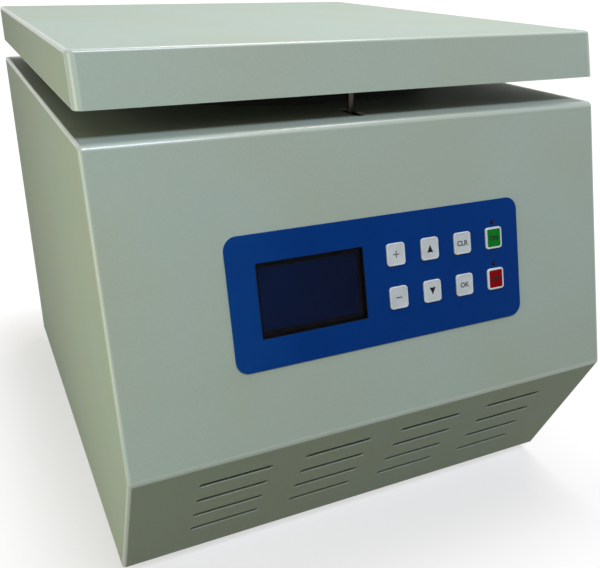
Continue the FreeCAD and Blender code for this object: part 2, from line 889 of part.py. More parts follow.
# Motor hung under the deck on four rubber dampers, with the shaft up into the chamber
def motor():
    at = ("0", chamberY)
    bossTop = "(%s + bossHeight)" % motorTop
    upperTop = "(%s - bearingLip)" % bossTop
    lowerLow = "(%s + capFloor + 1)" % capBottom
    bore = "(shaftRadius + slipFit)"
    plate = padded(
        [
            rectangle("0", "0", "2 * flangeHalf", "2 * flangeHalf", "flangeHalf - damperOffset"),
            circle("0", "0", "bossRadius + slipFit"),
        ],
        motorTop,
        flangeTop,
    )
    named("motor_flange", place(plate, *at))
    waist = "(damperRadius * 0.8)"
    damperProfile = [
        ("0", flangeTop),
        ("damperRadius", flangeTop),
        ("damperRadius", "%s + damperHeight / 4" % flangeTop),
        (waist, "%s + damperHeight / 2" % flangeTop),
        ("damperRadius", "%s - damperHeight / 4" % deckBottom),
        ("damperRadius", deckBottom),
        ("0", deckBottom),
    ]
    named(
        "motor_dampers",
        group(
            *[
                turned(damperProfile, "%d * damperOffset" % sideX, "%s + %d * damperOffset" % (chamberY, sideY))
                for sideX in (-1, 1)
                for sideY in (-1, 1)
            ]
        ),
    )
    bell = "(motorRadius - motorWall)"
    named(
        "motor_housing",
        turned(
            [
                ("motorRadius", motorBottom),
                ("motorRadius", motorTop),
                ("bossRadius", motorTop),
                ("bossRadius", bossTop),
                ("shaftRadius + bearingLip", bossTop),
                ("shaftRadius + bearingLip", upperTop),
                ("bearingRadius", upperTop),
                ("bearingRadius", "%s - motorRoof" % motorTop),
                (bell, "%s - motorRoof" % motorTop),
                (bell, motorBottom),
            ],
            *at,
        ),
    )
    named(
        "motor_end_cap",
        turned(
            [
                ("0", capBottom),
                ("motorRadius", capBottom),
                ("motorRadius", motorBottom),
                ("%s - bearingLip" % bell, motorBottom),
                ("%s - bearingLip" % bell, "%s + capFloor" % capBottom),
                ("bearingRadius + 4", "%s + capFloor" % capBottom),
                ("bearingRadius + 4", "%s + bearingHeight" % lowerLow),
                ("bearingRadius", "%s + bearingHeight" % lowerLow),
                ("bearingRadius", lowerLow),
                ("shaftRadius + bearingLip", lowerLow),
                ("shaftRadius + bearingLip", "%s + capFloor - 1" % capBottom),
                ("0", "%s + capFloor - 1" % capBottom),
            ],
            *at,
        ),
    )
    named(
        "motor_bearings",
        group(
            *[
                turned(
                    [
                        (bore, low),
                        ("%s + bearingLip" % bore, low),
                        ("%s + bearingLip + sealStep" % bore, "%s + sealStep" % low),
                        ("bearingRadius - bearingLip - sealStep", "%s + sealStep" % low),
                        ("bearingRadius - bearingLip", low),
                        ("bearingRadius - slipFit", low),
                        ("bearingRadius - slipFit", "%s + bearingHeight" % low),
                        (bore, "%s + bearingHeight" % low),
                    ],
                    *at,
                )
                for low in (lowerLow, "(%s - bearingHeight)" % upperTop)
            ]
        ),
    )
    middle = "((%s + %s) / 2)" % (motorBottom, motorTop)
    stackLow, stackHigh = "(%s - stackHeight / 2)" % middle, "(%s + stackHeight / 2)" % middle
    windingMid = "((statorInner + %s) / 2)" % bell
    windingInner = "(%s - windingWidth / 2)" % windingMid
    windingOuter = "(%s + windingWidth / 2)" % windingMid
    named(
        "motor_stator",
        turned(
            [
                ("statorInner", stackLow),
                (windingInner, stackLow),
                (windingInner, "%s - windingHeight" % stackLow),
                (windingOuter, "%s - windingHeight" % stackLow),
                (windingOuter, stackLow),
                ("%s - slipFit" % bell, stackLow),
                ("%s - slipFit" % bell, stackHigh),
                (windingOuter, stackHigh),
                (windingOuter, "%s + windingHeight" % stackHigh),
                (windingInner, "%s + windingHeight" % stackHigh),
                (windingInner, stackHigh),
                ("statorInner", stackHigh),
            ],
            *at,
        ),
    )
    core = "(statorInner - airGap)"
    studTop = "(%s + nutHeight - nutRoof - bearingLip)" % taperHigh
    named(
        "motor_shaft",
        turned(
            [
                ("0", "%s + capFloor" % capBottom),
                ("shaftRadius", "%s + capFloor" % capBottom),
                ("shaftRadius", stackLow),
                (core, stackLow),
                (core, stackHigh),
                ("shaftRadius", stackHigh),
                ("shaftRadius", "rotorBottom - shaftStep"),
                ("spindleRadius + shaftCollar", "rotorBottom - shaftStep"),
                ("spindleRadius + shaftCollar", "rotorBottom"),
                ("spindleRadius", "rotorBottom"),
                ("taperTop", taperHigh),
                ("threadRadius", taperHigh),
                ("threadRadius", studTop),
                ("0", studTop),
            ],
            *at,
        ),
    )
    sleeve = "(collarRadius - bowlThick - sealGap)"
    named(
        "shaft_boot",
        turned(
            [
                ("%s - bootWall" % sleeve, "deckTop"),
                ("bootFoot", "deckTop"),
                ("bootFoot", "deckTop + bootBase"),
                (sleeve, "deckTop + bootBase"),
                (sleeve, "%s + collarHeight" % bowlFloor),
                ("%s - bootWall" % sleeve, "%s + collarHeight" % bowlFloor),
            ],
            *at,
        ),
    )
    sensorX = "(shaftRadius + bearingLip)"
    named(
        "speed_sensor",
        box(
            (sensorX, "%s + sensorSize" % sensorX),
            ("%s - sensorSize / 2" % chamberY, "%s + sensorSize / 2" % chamberY),
            (bossTop, "%s + sensorSize" % bossTop),
        ),
    )


# Fixed-angle rotor and the nut that holds it on the spindle
def rotorPieces():
    sine, cosine = "sin(tubeAngle)", "cos(tubeAngle)"

    def along(depth, across):
        # a point at a depth down the tube axis and a distance out from it
        x = "tubeCircle + (%s) * %s + (%s) * %s" % (depth, sine, across, cosine)
        z = "rotorTop - (%s) * %s + (%s) * %s" % (depth, cosine, across, sine)
        return x, z

    slope = "tan(tubeAngle)"
    skirt = "((tubeRadius + tubeWall) / %s)" % cosine
    drop = "(rotorTop - rotorBottom)"
    edge = "(tubeCircle + %s)" % skirt
    inner = "(tubeCircle - %s)" % skirt
    rimDrop = "(%s - rotorFoot)" % drop
    recessTop = "(%s - hubRecess)" % taperHigh
    rotor = turned(
        [
            ("spindleRadius", "rotorBottom"),
            ("hubRadius", "rotorBottom"),
            ("hubRadius", recessTop),
            ("%s + (rotorTop - %s) * %s" % (inner, recessTop, slope), recessTop),
            ("%s + %s * %s" % (inner, drop, slope), "rotorBottom"),
            ("%s + (%s - rotorBevel) * %s" % (edge, drop, slope), "rotorBottom"),
            ("%s + %s * %s" % (edge, rimDrop, slope), "rotorBottom + rotorFoot"),
            (edge, "rotorTop"),
            ("hubRadius + 4", "rotorTop"),
            ("hubRadius", taperHigh),
            ("taperTop", taperHigh),
        ],
        "0",
        chamberY,
    )
    sketch = sketchIn(rotor, "XZ_Plane")
    ends = [FreeCAD.Vector(value(x), value(z), 0) for x, z in (along("0", "0"), along("tubeDepth", "0"))]
    sketch.addGeometry(Part.LineSegment(*ends), True)
    tie(sketch, 0, 1, *along("0", "0"))
    tie(sketch, 0, 2, *along("tubeDepth", "0"))
    drawPolygon(
        sketch,
        [
            along("-2 * tubeRadius", "0"),
            along("-2 * tubeRadius", "tubeRadius"),
            along("tubeDepth - 0.7 * tubeRadius", "tubeRadius"),
            along("tubeDepth - 0.2 * tubeRadius", "0.7 * tubeRadius"),
            along("tubeDepth", "0.3 * tubeRadius"),
            along("tubeDepth", "0"),
        ],
    )
    hole = rotor.newObject("PartDesign::Groove", "tubeHole")
    hole.Profile = sketch
    hole.ReferenceAxis = (sketch, ["Axis0"])
    hole.Angle = 360
    pattern(rotor, "PolarPattern", hole, Axis=(sketch, ["V_Axis"]), Angle=360, Occurrences="tubeCount")
    named("rotor", rotor)
    nutTop = "(%s + nutHeight)" % taperHigh
    nut = turned(
        [
            ("threadRadius + slipFit", taperHigh),
            ("nutRadius", taperHigh),
            ("nutRadius", "%s - nutHeight / 5" % nutTop),
            ("nutRadius * 7 / 9", nutTop),
            ("0", nutTop),
            ("0", "%s - nutRoof" % nutTop),
            ("threadRadius + slipFit", "%s - nutRoof" % nutTop),
        ],
        "0",
        chamberY,
    )
    fluteAt = circle("nutRadius + 0.4 * fluteRadius", "0", "fluteRadius")
    flute = pocket(nut, [fluteAt], "%s + nutHeight / 6" % taperHigh, "%s + 1" % nutTop)
    spin = (flute.Profile[0], ["N_Axis"])
    pattern(nut, "PolarPattern", flute, Axis=spin, Angle=360, Occurrences="nutFlutes")
    named("rotor_nut", nut)


# Keypad face: overlay, eight keys, window, display, boards and lamps
def keypad():
    overlay = padded(
        [
            rectangle(*overlayAt, "overlayWidth", "overlayHeight", "overlayCorner"),
            rectangle(*windowAt, "windowWidth", "windowHeight", "windowCorner"),
            *[keyOutline(x, y, "keyFit") for x in keyColumns for y in keyRows],
            *[circle(*spot, "lampRadius + keyFit") for spot in lampSpots],
        ],
        "0",
        "overlayThick",
    )
    named("keypad_overlay", onFace(overlay))
    labels = [
        ["key_plus", "key_minus"],
        ["key_up", "key_down"],
        ["key_mode", "key_enter"],
        ["key_start", "key_stop"],
    ]
    capLow = "(keyTravel + 0.1)"
    capTop = "(overlayThick + keyProud)"
    for x, column in zip(keyColumns, labels):
        for y, label in zip(keyRows, column):
            cap = padded([keyOutline(x, y)], capLow, capTop)
            soften(cap, "keyEdge", lambda edge: near(edge.BoundBox.ZMin, value(capTop)))
            stem = cylinder("stemRadius", "-stemDepth", capLow, (x, y))
            named(label, onFace(fuse(cap, stem)))
    paneSize = ("windowWidth + 2 * paneLap", "windowHeight + 2 * paneLap", "windowCorner + paneLap")
    pane = padded(
        [rectangle(*windowAt, *paneSize)],
        "-(wall + paneThick)",
        "-wall",
    )
    named("display_window", onFace(pane))
    bezel = padded(
        [
            rectangle(
                *windowAt, "windowWidth + 2 * moduleLap", "windowHeight + 2 * moduleLap", "windowCorner"
            )
        ],
        moduleBack,
        "-(wall + paneThick)",
    )
    glass = pocket(
        bezel,
        [rectangle(*windowAt, "windowWidth - 2 * bezelSide", "windowHeight - 2 * bezelEnd", "windowCorner")],
        "-(wall + paneThick + bezelDepth)",
        "-(wall + paneThick)",
    )
    bezel.Tip = glass
    board = padded([rectangle(*windowAt, *moduleBoard, "2")], "%s - boardThick" % moduleBack, moduleBack)
    named("display_module", onFace(fuse(bezel, board)))
    keyBoardMid = "((%s) + (%s)) / 2" % keyBoardX
    keyBoardWide = "(%s) - (%s)" % (keyBoardX[1], keyBoardX[0])
    keyBoardY = "(keyLift - panelDown + lampUp / 2)"
    keyBoard = padded(
        [rectangle(keyBoardMid, keyBoardY, keyBoardWide, "2 * " + keyBoardHalf, "2")],
        "%s - boardThick" % boardZ,
        boardZ,
    )
    button = ("switchSide", "switchSide", "switchSide / 12")
    buttons = [
        padded([rectangle(x, y, *button)], boardZ, "%s + switchHeight" % boardZ)
        for x in keyColumns
        for y in keyRows
    ]
    named("control_board", onFace(fuse(keyBoard, *buttons)))
    lamps = [
        turned(
            [
                ("0", boardZ),
                ("lampRadius", boardZ),
                ("lampRadius", "overlayThick"),
                ("lampRadius * 0.7", "overlayThick + lampRadius * 0.6"),
                ("0", "overlayThick + lampRadius * 0.8"),
            ],
        )
        for spot in lampSpots
    ]
    for lamp, (x, y) in zip(lamps, lampSpots):
        place(lamp, x, y)
    named("indicator_lights", onFace(group(*lamps)))
    posts = []
    for signX in (-1, 1):
        for signY in (-1, 1):
            x = "windowShift + %d * (%s / 2 - standoffRadius)" % (signX, moduleBoard[0])
            y = "%s + %d * (%s / 2 - standoffRadius)" % (windowAt[1], signY, moduleBoard[1])
            posts.append(cylinder("standoffRadius", moduleBack, "-wall", (x, y)))
            x = "%s + %d * (%s / 2 - standoffRadius)" % (keyBoardMid, signX, "(%s)" % keyBoardWide)
            y = "%s + %d * (%s - standoffRadius)" % (keyBoardY, signY, keyBoardHalf)
            posts.append(cylinder("standoffRadius", boardZ, "-wall", (x, y)))
    named("board_standoffs", onFace(group(*posts)))


# Lid: pressed pan, inner plate with a round dish, striker, hinges
def lid():
    front = "(%s + lidFrontSet)" % topFrontY
    back = "(%s + lidDepth)" % front
    body = doc.addObject("PartDesign::Body", "lidBlank")
    outline = [(front, lidBottom), (back, lidBottom), (back, lidTop), ("%s + lidLean" % front, lidTop)]
    pad = body.newObject("PartDesign::Pad", "pad")
    pad.Profile = draw(sketchIn(body, "YZ_Plane"), outline)
    pad.SideType = "Symmetric"
    pad.setExpression("Length", bound("cabWidth - 2 * lidInset"))
    soften(body, "lidCorner", lambda edge: edge.BoundBox.ZLength > value("lidHeight") - 1)
    soften(body, "lidFold", lambda edge: near(edge.BoundBox.ZMin, value(lidTop)))
    doc.recompute()
    tip = body.Tip
    openFaces = [
        "Face%d" % (index + 1)
        for index, face in enumerate(tip.Shape.Faces)
        if near(face.BoundBox.ZMax, value(lidBottom))
    ]
    shell = body.newObject("PartDesign::Thickness", "shell")
    shell.Base = (tip, openFaces)
    shell.setExpression("Value", bound("wall"))
    shell.Reversed = True
    shell.Mode = 0
    named("lid_shell", body)
    plateTop = "(%s + linerThick)" % linerBottom
    plateWide = "(cabWidth - 2 * lidInset - 2 * wall - 2 * sheetFit)"
    plateFront = "(%s + lidLean * (linerRise + linerThick) / lidHeight + wall + 2 * sheetFit)" % front
    plateBack = "(%s - wall - sheetFit)" % back
    plate = padded(
        [
            rectangle(
                "0", "(%s + %s) / 2" % (plateFront, plateBack), plateWide,
                "%s - %s" % (plateBack, plateFront), "lidCorner",
            )
        ],
        linerBottom,
        plateTop,
    )
    at = ("0", chamberY)
    dish = cylinder(dishRadius, dishBottom, plateTop, at)
    pit = cylinder("%s - linerThick" % dishRadius, "%s + linerThick" % dishBottom, "%s + 1" % plateTop, at)
    hole = cylinder("strikerRadius + slipFit", "%s - 1" % linerBottom, "%s + 1" % plateTop, ("0", strikerY))
    named("lid_liner", cut(fuse(plate, dish), pit, hole))
    headLow = "(%s - strikerReach)" % topZ
    pinTop = "(%s + panThread)" % plateTop
    named(
        "striker_pin",
        turned(
            [
                ("0", headLow),
                ("strikerHead - 1.5", headLow),
                ("strikerHead", "%s + 1.5" % headLow),
                ("strikerHead", headTop),
                ("strikerRadius", headTop),
                ("strikerRadius", "%s - strikerFlangeThick" % linerBottom),
                ("strikerFlange", "%s - strikerFlangeThick" % linerBottom),
                ("strikerFlange", linerBottom),
                ("strikerRadius", linerBottom),
                ("strikerRadius", pinTop),
                ("0", pinTop),
            ],
            "0",
            strikerY,
        ),
    )
    nutSide = "(strikerHead + 0.5)"
    turns = [math.radians(60 * k) for k in range(6)]
    hexagon = [("%s * %.6f" % (nutSide, math.cos(a)), "%s * %.6f" % (nutSide, math.sin(a))) for a in turns]
    nut = padded(
        [hexagon, circle("0", "0", "strikerRadius + slipFit")], plateTop, "%s + strikerNutHeight" % plateTop
    )
    named("striker_nut", place(nut, "0", strikerY))


def hinges():
    leafTop = "(%s + hingeLeaf)" % topZ
    pins, screws = [], []
    armHalf = "(earInner - hingeFit)"
    padLow = "(%s - armThick)" % linerBottom
    for side, name in ((-1, "left"), (1, "right")):
        middle = "(%d * hingeOffset)" % side
        leaf = box(
            ("%s - earInner - earThick - leafEdge" % middle, "%s + earInner + earThick + leafEdge" % middle),
            ("%s - leafFront" % hingeY, "%s + earRadius" % hingeY),
            (topZ, leafTop),
        )
        ears = []
        for step in (-1, 1):
            low = "%s + %s" % (middle, "earInner" if step > 0 else "(-earInner - earThick)")
            high = "%s + earThick" % low
            depth = ("%s - earRadius" % hingeY, "%s + earRadius" % hingeY)
            ears.append(box((low, high), depth, (topZ, hingeZ)))
            ears.append(cylinder("earRadius", low, high, (hingeY, hingeZ), "x"))
        reach = ("%s - 2 * earInner" % middle, "%s + 2 * earInner" % middle)
        bore = cylinder("pinRadius", reach[0], reach[1], (hingeY, hingeZ), "x")
        spots = [spot for spot in hingeScrewSpots if spot[0].startswith("%d *" % side)]
        holes = [cylinder("screwRadius", "%s - 1" % topZ, "%s + 1" % leafTop, spot) for spot in spots]
        named("hinge_base_" + name, cut(fuse(leaf, *ears), bore, *holes))
        arm = fuse(
            cylinder("earRadius - hingeFit", "%s - %s" % (middle, armHalf), "%s + %s" % (middle, armHalf),
                     (hingeY, hingeZ), "x"),
            box(
                ("%s - %s" % (middle, armHalf), "%s + %s" % (middle, armHalf)),
                ("%s - earRadius + hingeFit" % hingeY, "%s + earRadius - hingeFit" % hingeY),
                (hingeZ, linerBottom),
            ),
            box(
                ("%s - %s" % (middle, armHalf), "%s + %s" % (middle, armHalf)),
                ("%s - armReach" % hingeY, hingeY),
                (padLow, linerBottom),
            ),
        )
        running = cylinder("pinRadius + slipFit", reach[0], reach[1], (hingeY, hingeZ), "x")
        named("hinge_arm_" + name, cut(arm, running))
        shank = "%s + earInner + earThick" % middle
        pins.append(
            fuse(
                cylinder("pinRadius", "%s - earInner - earThick" % middle, shank, (hingeY, hingeZ), "x"),
                cylinder("pinRadius + pinHead", shank, "%s + pinHead" % shank, (hingeY, hingeZ), "x"),
            )
        )
        for step in (-1, 1):
            x = "%s + %d * earInner / 2" % (middle, step)
            y = "%s - 0.8 * armReach" % hingeY
            screws.append(cylinder("screwHead", "%s - screwHeadHeight" % padLow, padLow, (x, y)))
    named("hinge_pins", group(*pins))
    named("lid_screws", group(*screws))


# Electric lid lock under the striker slot
def lidLock():
    roof = "(%s - wall)" % topZ
    plateLow = "(%s - lockPlate)" % roof
    low = "(%s - strikerReach - lockClear)" % topZ
    mid = "(%s + slotBack)" % topFrontY
    solenoidEnd = "(solenoidStart + solenoidLength)"
    front, back = "%s - lockHalfDepth" % mid, "%s + lockHalfDepth" % mid
    body = fuse(
        box(("-slotWidth / 2 - lockCheek", "%s + lockClear" % solenoidEnd), (front, back), (plateLow, roof)),
        box(("-slotWidth / 2 - lockCheek", "boltTail - boltTravel - 1"), (front, back), (low, roof)),
    )
    shaft = box(
        ("-slotWidth / 2 - 0.5", "slotWidth / 2 + 0.5"),
        ("%s - slotLength / 2 - 0.5" % mid, "%s + slotLength / 2 + 0.5" % mid),
        ("%s - 1" % low, "%s + 1" % roof),
    )
    channel = box(
        ("0", "boltTail + 1"),
        ("%s - boltWidth / 2 - sheetFit" % strikerY, "%s + boltWidth / 2 + sheetFit" % strikerY),
        ("%s - sheetFit" % boltLow, "%s + boltThick + sheetFit" % boltLow),
    )
    named("lock_housing", cut(body, shaft, channel))
    bolt = box(
        ("boltRest", "boltTail"),
        ("%s - boltWidth / 2" % strikerY, "%s + boltWidth / 2" % strikerY),
        (boltLow, "%s + boltThick" % boltLow),
    )
    notch = box(
        ("boltRest - 1", "boltRest + boltTravel - strikerRadius - 0.5"),
        ("%s - strikerRadius - 0.6" % strikerY, "%s + strikerRadius + 0.6" % strikerY),
        ("%s - 1" % boltLow, "%s + boltThick + 1" % boltLow),
    )
    named("lock_bolt", cut(bolt, notch))
    axis = (strikerY, boltMid)
    named("lock_plunger", cylinder("plungerRadius", "boltTail", "%s - 12" % solenoidEnd, axis, "x"))
    coil = box(
        ("solenoidStart", solenoidEnd),
        ("%s - solenoidWidth / 2" % strikerY, "%s + solenoidWidth / 2" % strikerY),
        ("%s - solenoidWidth / 2" % boltMid, plateLow),
    )
    bore = cylinder("plungerRadius + 0.2", "solenoidStart - 1", "%s - 10" % solenoidEnd, axis, "x")
    named("lock_solenoid", cut(coil, bore))


# Rear fan with its wire guard
def fan():
    frame = padded(
        [rectangle("0", "0", "2 * fanHalf", "2 * fanHalf", "5"), circle("0", "0", "fanBore")],
        "-fanDepth",
        "0",
    )
    bossLow = "(-fanArmDepth - 1)"
    boss = cylinder("fanHub + 1", bossLow, "0")
    reach, side = ("-fanBore - 1", "fanBore + 1"), ("-fanArm / 2", "fanArm / 2")
    arms = [box(reach, side, (bossLow, "-1")), box(side, reach, (bossLow, "-1"))]
    pinHole = cylinder("axleRadius + slipFit", "%s - 1" % bossLow, "-1")
    screwHoles = [
        cylinder("screwRadius", "-fanDepth - 1", "1", ("%d * fanScrewOffset" % x, "%d * fanScrewOffset" % y))
        for x in (-1, 1)
        for y in (-1, 1)
    ]
    named("fan_frame", atFan(cut(fuse(frame, boss, *arms), pinHole, *screwHoles)))
    wheel = turned(
        [
            ("0", "-fanDepth + fanSpace"),
            ("fanHub", "-fanDepth + fanSpace"),
            ("fanHub", "%s - fanSpace / 3" % bossLow),
            ("axleRadius", "%s - fanSpace / 3" % bossLow),
            ("axleRadius", "-fanSpace"),
            ("0", "-fanSpace"),
        ]
    )
    half = "(bladeChord / 2)"
    middle = "(-fanDepth / 2 - fanSpace)"
    run, rise = "cos(bladePitch)", "sin(bladePitch)"

    def section(u, v):
        return (
            "(%s) * %s - (%s) * %s" % (u, run, v, rise),
            "%s + (%s) * %s + (%s) * %s" % (middle, u, rise, v, run),
        )

    blade = wheel.newObject("PartDesign::Pad", "blade")
    blade.Profile = draw(
        sketchIn(wheel, "YZ_Plane", "fanHub - 1"),
        [section("-" + half, "-bladeThick / 2"), section(half, "-bladeThick / 2"),
         section(half, "bladeThick / 2"), section("-" + half, "bladeThick / 2")],
    )
    blade.setExpression("Length", bound("bladeRadius - fanHub + 1"))
    turnSketch = wheel.Group[0]
    pattern(wheel, "PolarPattern", blade, Axis=(turnSketch, ["V_Axis"]), Angle=360, Occurrences="bladeCount")
    named("fan_impeller", atFan(wheel))
    spokeZ = "(wall + wireRadius + 0.2)"
    rings = []
    for share in (0.3, 0.55, 0.8, 1.0):
        ring = doc.addObject("Part::Torus", "wire")
        ring.setExpression("Radius1", bound("fanBore * %g" % share))
        ring.setExpression("Radius2", bound("wireRadius"))
        rings.append(place(ring, z="%s + 1.3 * wireRadius" % spokeZ))
    spokes = []
    reach = "(fanScrewOffset * 1.414214 - screwHead)"
    for angle in (45, 135, 225, 315):
        spoke = doc.addObject("Part::Cylinder", "spoke")
        spoke.setExpression("Radius", bound("wireRadius"))
        spoke.setExpression("Height", bound(reach))
        spoke.Placement = FreeCAD.Placement(
            FreeCAD.Vector(),
            FreeCAD.Rotation(FreeCAD.Vector(0, 0, 1), angle) * FreeCAD.Rotation(FreeCAD.Vector(0, 1, 0), 90),
        )
        spoke.setExpression("Placement.Base.z", bound(spokeZ))
        spokes.append(spoke)
    middle = cylinder("2 * wireRadius", "wall + 0.1", "%s + 1.2 * wireRadius" % spokeZ)
    corners = [("%d * fanScrewOffset" % x, "%d * fanScrewOffset" % y) for x in (-1, 1) for y in (-1, 1)]
    eyes = [cylinder("screwHead + 1", "wall", "wall + eyeHeight", corner) for corner in corners]
    eyeHoles = [cylinder("screwRadius", "0", "wall + 2 * eyeHeight", corner) for corner in corners]
    named("fan_grille", atFan(cut(fuse(*rings, *spokes, middle, *eyes), *eyeHoles)))


# Mains inlet and the rocker switch beside it
def mains():
    inside = "(%s - wall)" % panelY
    bodyBack = "(%s - inletDepth)" % inside
    socketFloor = "(%s + inletWall + 0.5)" % bodyBack
    outside = panelY
    flange = box(
        ("inletX - inletBodyWide / 2 - inletRim", "inletX + inletBodyWide / 2 + inletRim"),
        (outside, "%s + inletProud" % outside),
        ("inletZ - inletBodyTall / 2 - inletRimTall", "inletZ + inletBodyTall / 2 + inletRimTall"),
    )
    body = box(
        ("inletX - inletBodyWide / 2 + sheetFit", "inletX + inletBodyWide / 2 - sheetFit"),
        (bodyBack, outside),
        ("inletZ - inletBodyTall / 2 + sheetFit", "inletZ + inletBodyTall / 2 - sheetFit"),
    )
    pit = box(
        ("inletX - inletBodyWide / 2 + inletWall", "inletX + inletBodyWide / 2 - inletWall"),
        (socketFloor, "%s + inletProud + 1" % outside),
        ("inletZ - inletBodyTall / 2 + inletWall", "inletZ + inletBodyTall / 2 - inletWall"),
    )
    named("power_inlet", cut(fuse(flange, body), pit))
    blades = [
        box(
            ("inletX + %s - inletPinThick / 2" % x, "inletX + %s + inletPinThick / 2" % x),
            (socketFloor, "%s - 1" % inside),
            ("inletZ + %s - inletPinTall / 2" % z, "inletZ + %s + inletPinTall / 2" % z),
        )
        for x, z in (
            ("(-inletPinPitch)", "(-inletPinDrop)"),
            ("0", "inletPinDrop"),
            ("inletPinPitch", "(-inletPinDrop)"),
        )
    ]
    named("inlet_pins", group(*blades))
    pivot = "(%s - pivotDepth)" % outside
    rim = box(
        ("switchX - switchBodyWide / 2 - switchRim", "switchX + switchBodyWide / 2 + switchRim"),
        (outside, "%s + switchRim" % outside),
        ("inletZ - switchBodyTall / 2 - switchRim", "inletZ + switchBodyTall / 2 + switchRim"),
    )
    can = box(
        ("switchX - switchBodyWide / 2 + sheetFit", "switchX + switchBodyWide / 2 - sheetFit"),
        ("%s - switchDepth" % inside, outside),
        ("inletZ - switchBodyTall / 2 + sheetFit", "inletZ + switchBodyTall / 2 - sheetFit"),
    )
    well = box(
        ("switchX - rockerHalf - rockerFit", "switchX + rockerHalf + rockerFit"),
        ("%s - wellDepth" % pivot, "%s + switchRim + 1" % outside),
        ("inletZ - rockerReach - 3.5 * rockerFit", "inletZ + rockerReach + 3.5 * rockerFit"),
    )
    bores = cylinder(
        "pivotRadius + slipFit",
        "switchX - rockerHalf - pivotRadius - 0.1",
        "switchX + rockerHalf + pivotRadius + 0.1",
        (pivot, "inletZ"),
        "x",
    )
    named("switch_housing", cut(fuse(rim, can), well, bores))
    paddle = padded(
        [[
            ("6", "-rockerReach"), ("4", "0"), ("6", "rockerReach"), ("1", "rockerReach"),
            ("-4", "5"), ("-4", "-5"), ("1", "-rockerReach"),
        ]],
        "-rockerHalf",
        "rockerHalf",
        "YZ_Plane",
    )
    stub = cylinder("pivotRadius", "-(rockerHalf + pivotRadius)", "rockerHalf + pivotRadius", ("0", "0"), "x")
    named(
        "power_rocker",
        place(fuse(paddle, stub), "switchX", pivot, "inletZ", (1, 0, 0), "-rockerTilt"),
    )


# Power board with its heat sink, and the wiring between the boards and the inlet
def electronics():
    boardLow = "(%s + drivePost)" % baseTop
    boardHigh = "(%s + boardThick)" % boardLow
    left, right = "(driveShift - driveWidth / 2)", "(driveShift + driveWidth / 2)"
    front = "(%s + driveFront)" % chinY
    back = "(%s + driveDepth)" % front
    canY = "(%s - canBack)" % back
    board = box((left, right), (front, back), (boardLow, boardHigh))
    posts = [
        cylinder("drivePostRadius", baseTop, boardLow, (x, y))
        for x in ("%s + drivePostInset" % left, "%s - drivePostInset" % right)
        for y in ("%s + drivePostInset" % front, "%s - drivePostInset" % back)
    ]
    cans = [
        cylinder("canRadius", boardHigh, "%s + canHeight" % boardHigh, ("canShift + %d * canPitch" % k, canY))
        for k in (-1, 0, 1)
    ]
    terminals = box(
        (left, "%s + terminalWidth" % left),
        ("%s - terminalDepth / 2" % canY, "%s + terminalDepth / 2" % canY),
        (boardHigh, "%s + terminalHeight" % boardHigh),
    )
    headerX, headerY = "(%s - headerInset)" % right, "(%s + headerFront)" % front
    headerTop = "(%s + headerHeight)" % boardHigh
    header = box(
        ("%s - headerWidth / 2" % headerX, "%s + headerWidth / 2" % headerX),
        ("%s - headerDepth / 2" % headerY, "%s + headerDepth / 2" % headerY),
        (boardHigh, headerTop),
    )
    named("drive_board", fuse(board, *posts, *cans, terminals, header))
    sinkHalf = "((finCount - 1) * finPitch / 2 + finThick / 2)"
    finFront = "(%s + sinkFront)" % front
    finBack = "(%s + finDepth)" % finFront
    sinkTop = "(%s + sinkHeight)" % boardHigh
    spine = box(("-" + sinkHalf, sinkHalf), (finBack, "%s + spineThick" % finBack), (boardHigh, sinkTop))
    fins = [
        box(
            ("-%s + %d * finPitch" % (sinkHalf, k), "-%s + %d * finPitch + finThick" % (sinkHalf, k)),
            (finFront, finBack),
            (boardHigh, sinkTop),
        )
        for k in range(int(value("finCount")))
    ]
    named("heat_sink", fuse(spine, *fins))
    # each run is straight, then one tangent bend, then straight again
    bodyBack = value("%s - wall - inletDepth" % panelY)
    mainsZ = value("inletZ")
    inletX = value("inletX")
    slope = math.radians(value("atan(%s)" % faceSlope))
    out = FreeCAD.Vector(0, -math.cos(slope), math.sin(slope))
    down = FreeCAD.Vector(0, -math.sin(slope), -math.cos(slope))
    top = FreeCAD.Vector(value(headerX), value(topFrontY), value(topZ))
    boardBack = top + down * value("panelDown") + out * value("%s - boardThick" % boardZ)
    corner = boardBack - out * ((value(headerY) - boardBack.y) / -out.y)
    runs = [
        [
            FreeCAD.Vector(inletX, bodyBack, mainsZ),
            FreeCAD.Vector(inletX, value(canY), mainsZ),
            FreeCAD.Vector(value(left), value(canY), mainsZ),
        ],
        [boardBack, corner, FreeCAD.Vector(value(headerX), value(headerY), value(headerTop))],
    ]
    tubes = []
    for start, bend, end in runs:
        before, after = (start - bend).normalize(), (end - bend).normalize()
        half = before.getAngle(after) / 2
        tangent = min(40.0, 0.9 * (start - bend).Length, 0.9 * (end - bend).Length)
        radius = tangent * math.tan(half)
        middle = (before + after).normalize()
        centre = bend + middle * (radius / math.sin(half))
        first, last = bend + before * tangent, bend + after * tangent
        path = Part.Wire(
            [
                Part.LineSegment(start, first).toShape(),
                Part.Arc(first, centre - middle * radius, last).toShape(),
                Part.LineSegment(last, end).toShape(),
            ]
        )
        ring = Part.Wire(Part.makeCircle(value("loomRadius"), start, (bend - start)))
        tubes.append(path.makePipeShell([ring], True, False))
    loom = doc.addObject("Part::Feature", "loom")
    loom.Shape = Part.makeCompound(tubes)
    named("wiring_loom", loom)


def screws():
    parts = [screw(x, panelY, z, "y", 1) for x, z in panelScrewSpots]
    parts += [screw(x, "%s + eyeHeight" % panelY, z, "y", 1, "screwLength + 4") for x, z in fanScrewSpots]
    parts += [screw(x, y, "footHeight / 2", "z", -1) for x, y in footSpots]
    parts += [screw(x, y, "%s + hingeLeaf" % topZ, "z", 1, "hingeLeaf + wall + 1") for x, y in hingeScrewSpots]
    named("case_screws", group(*parts))


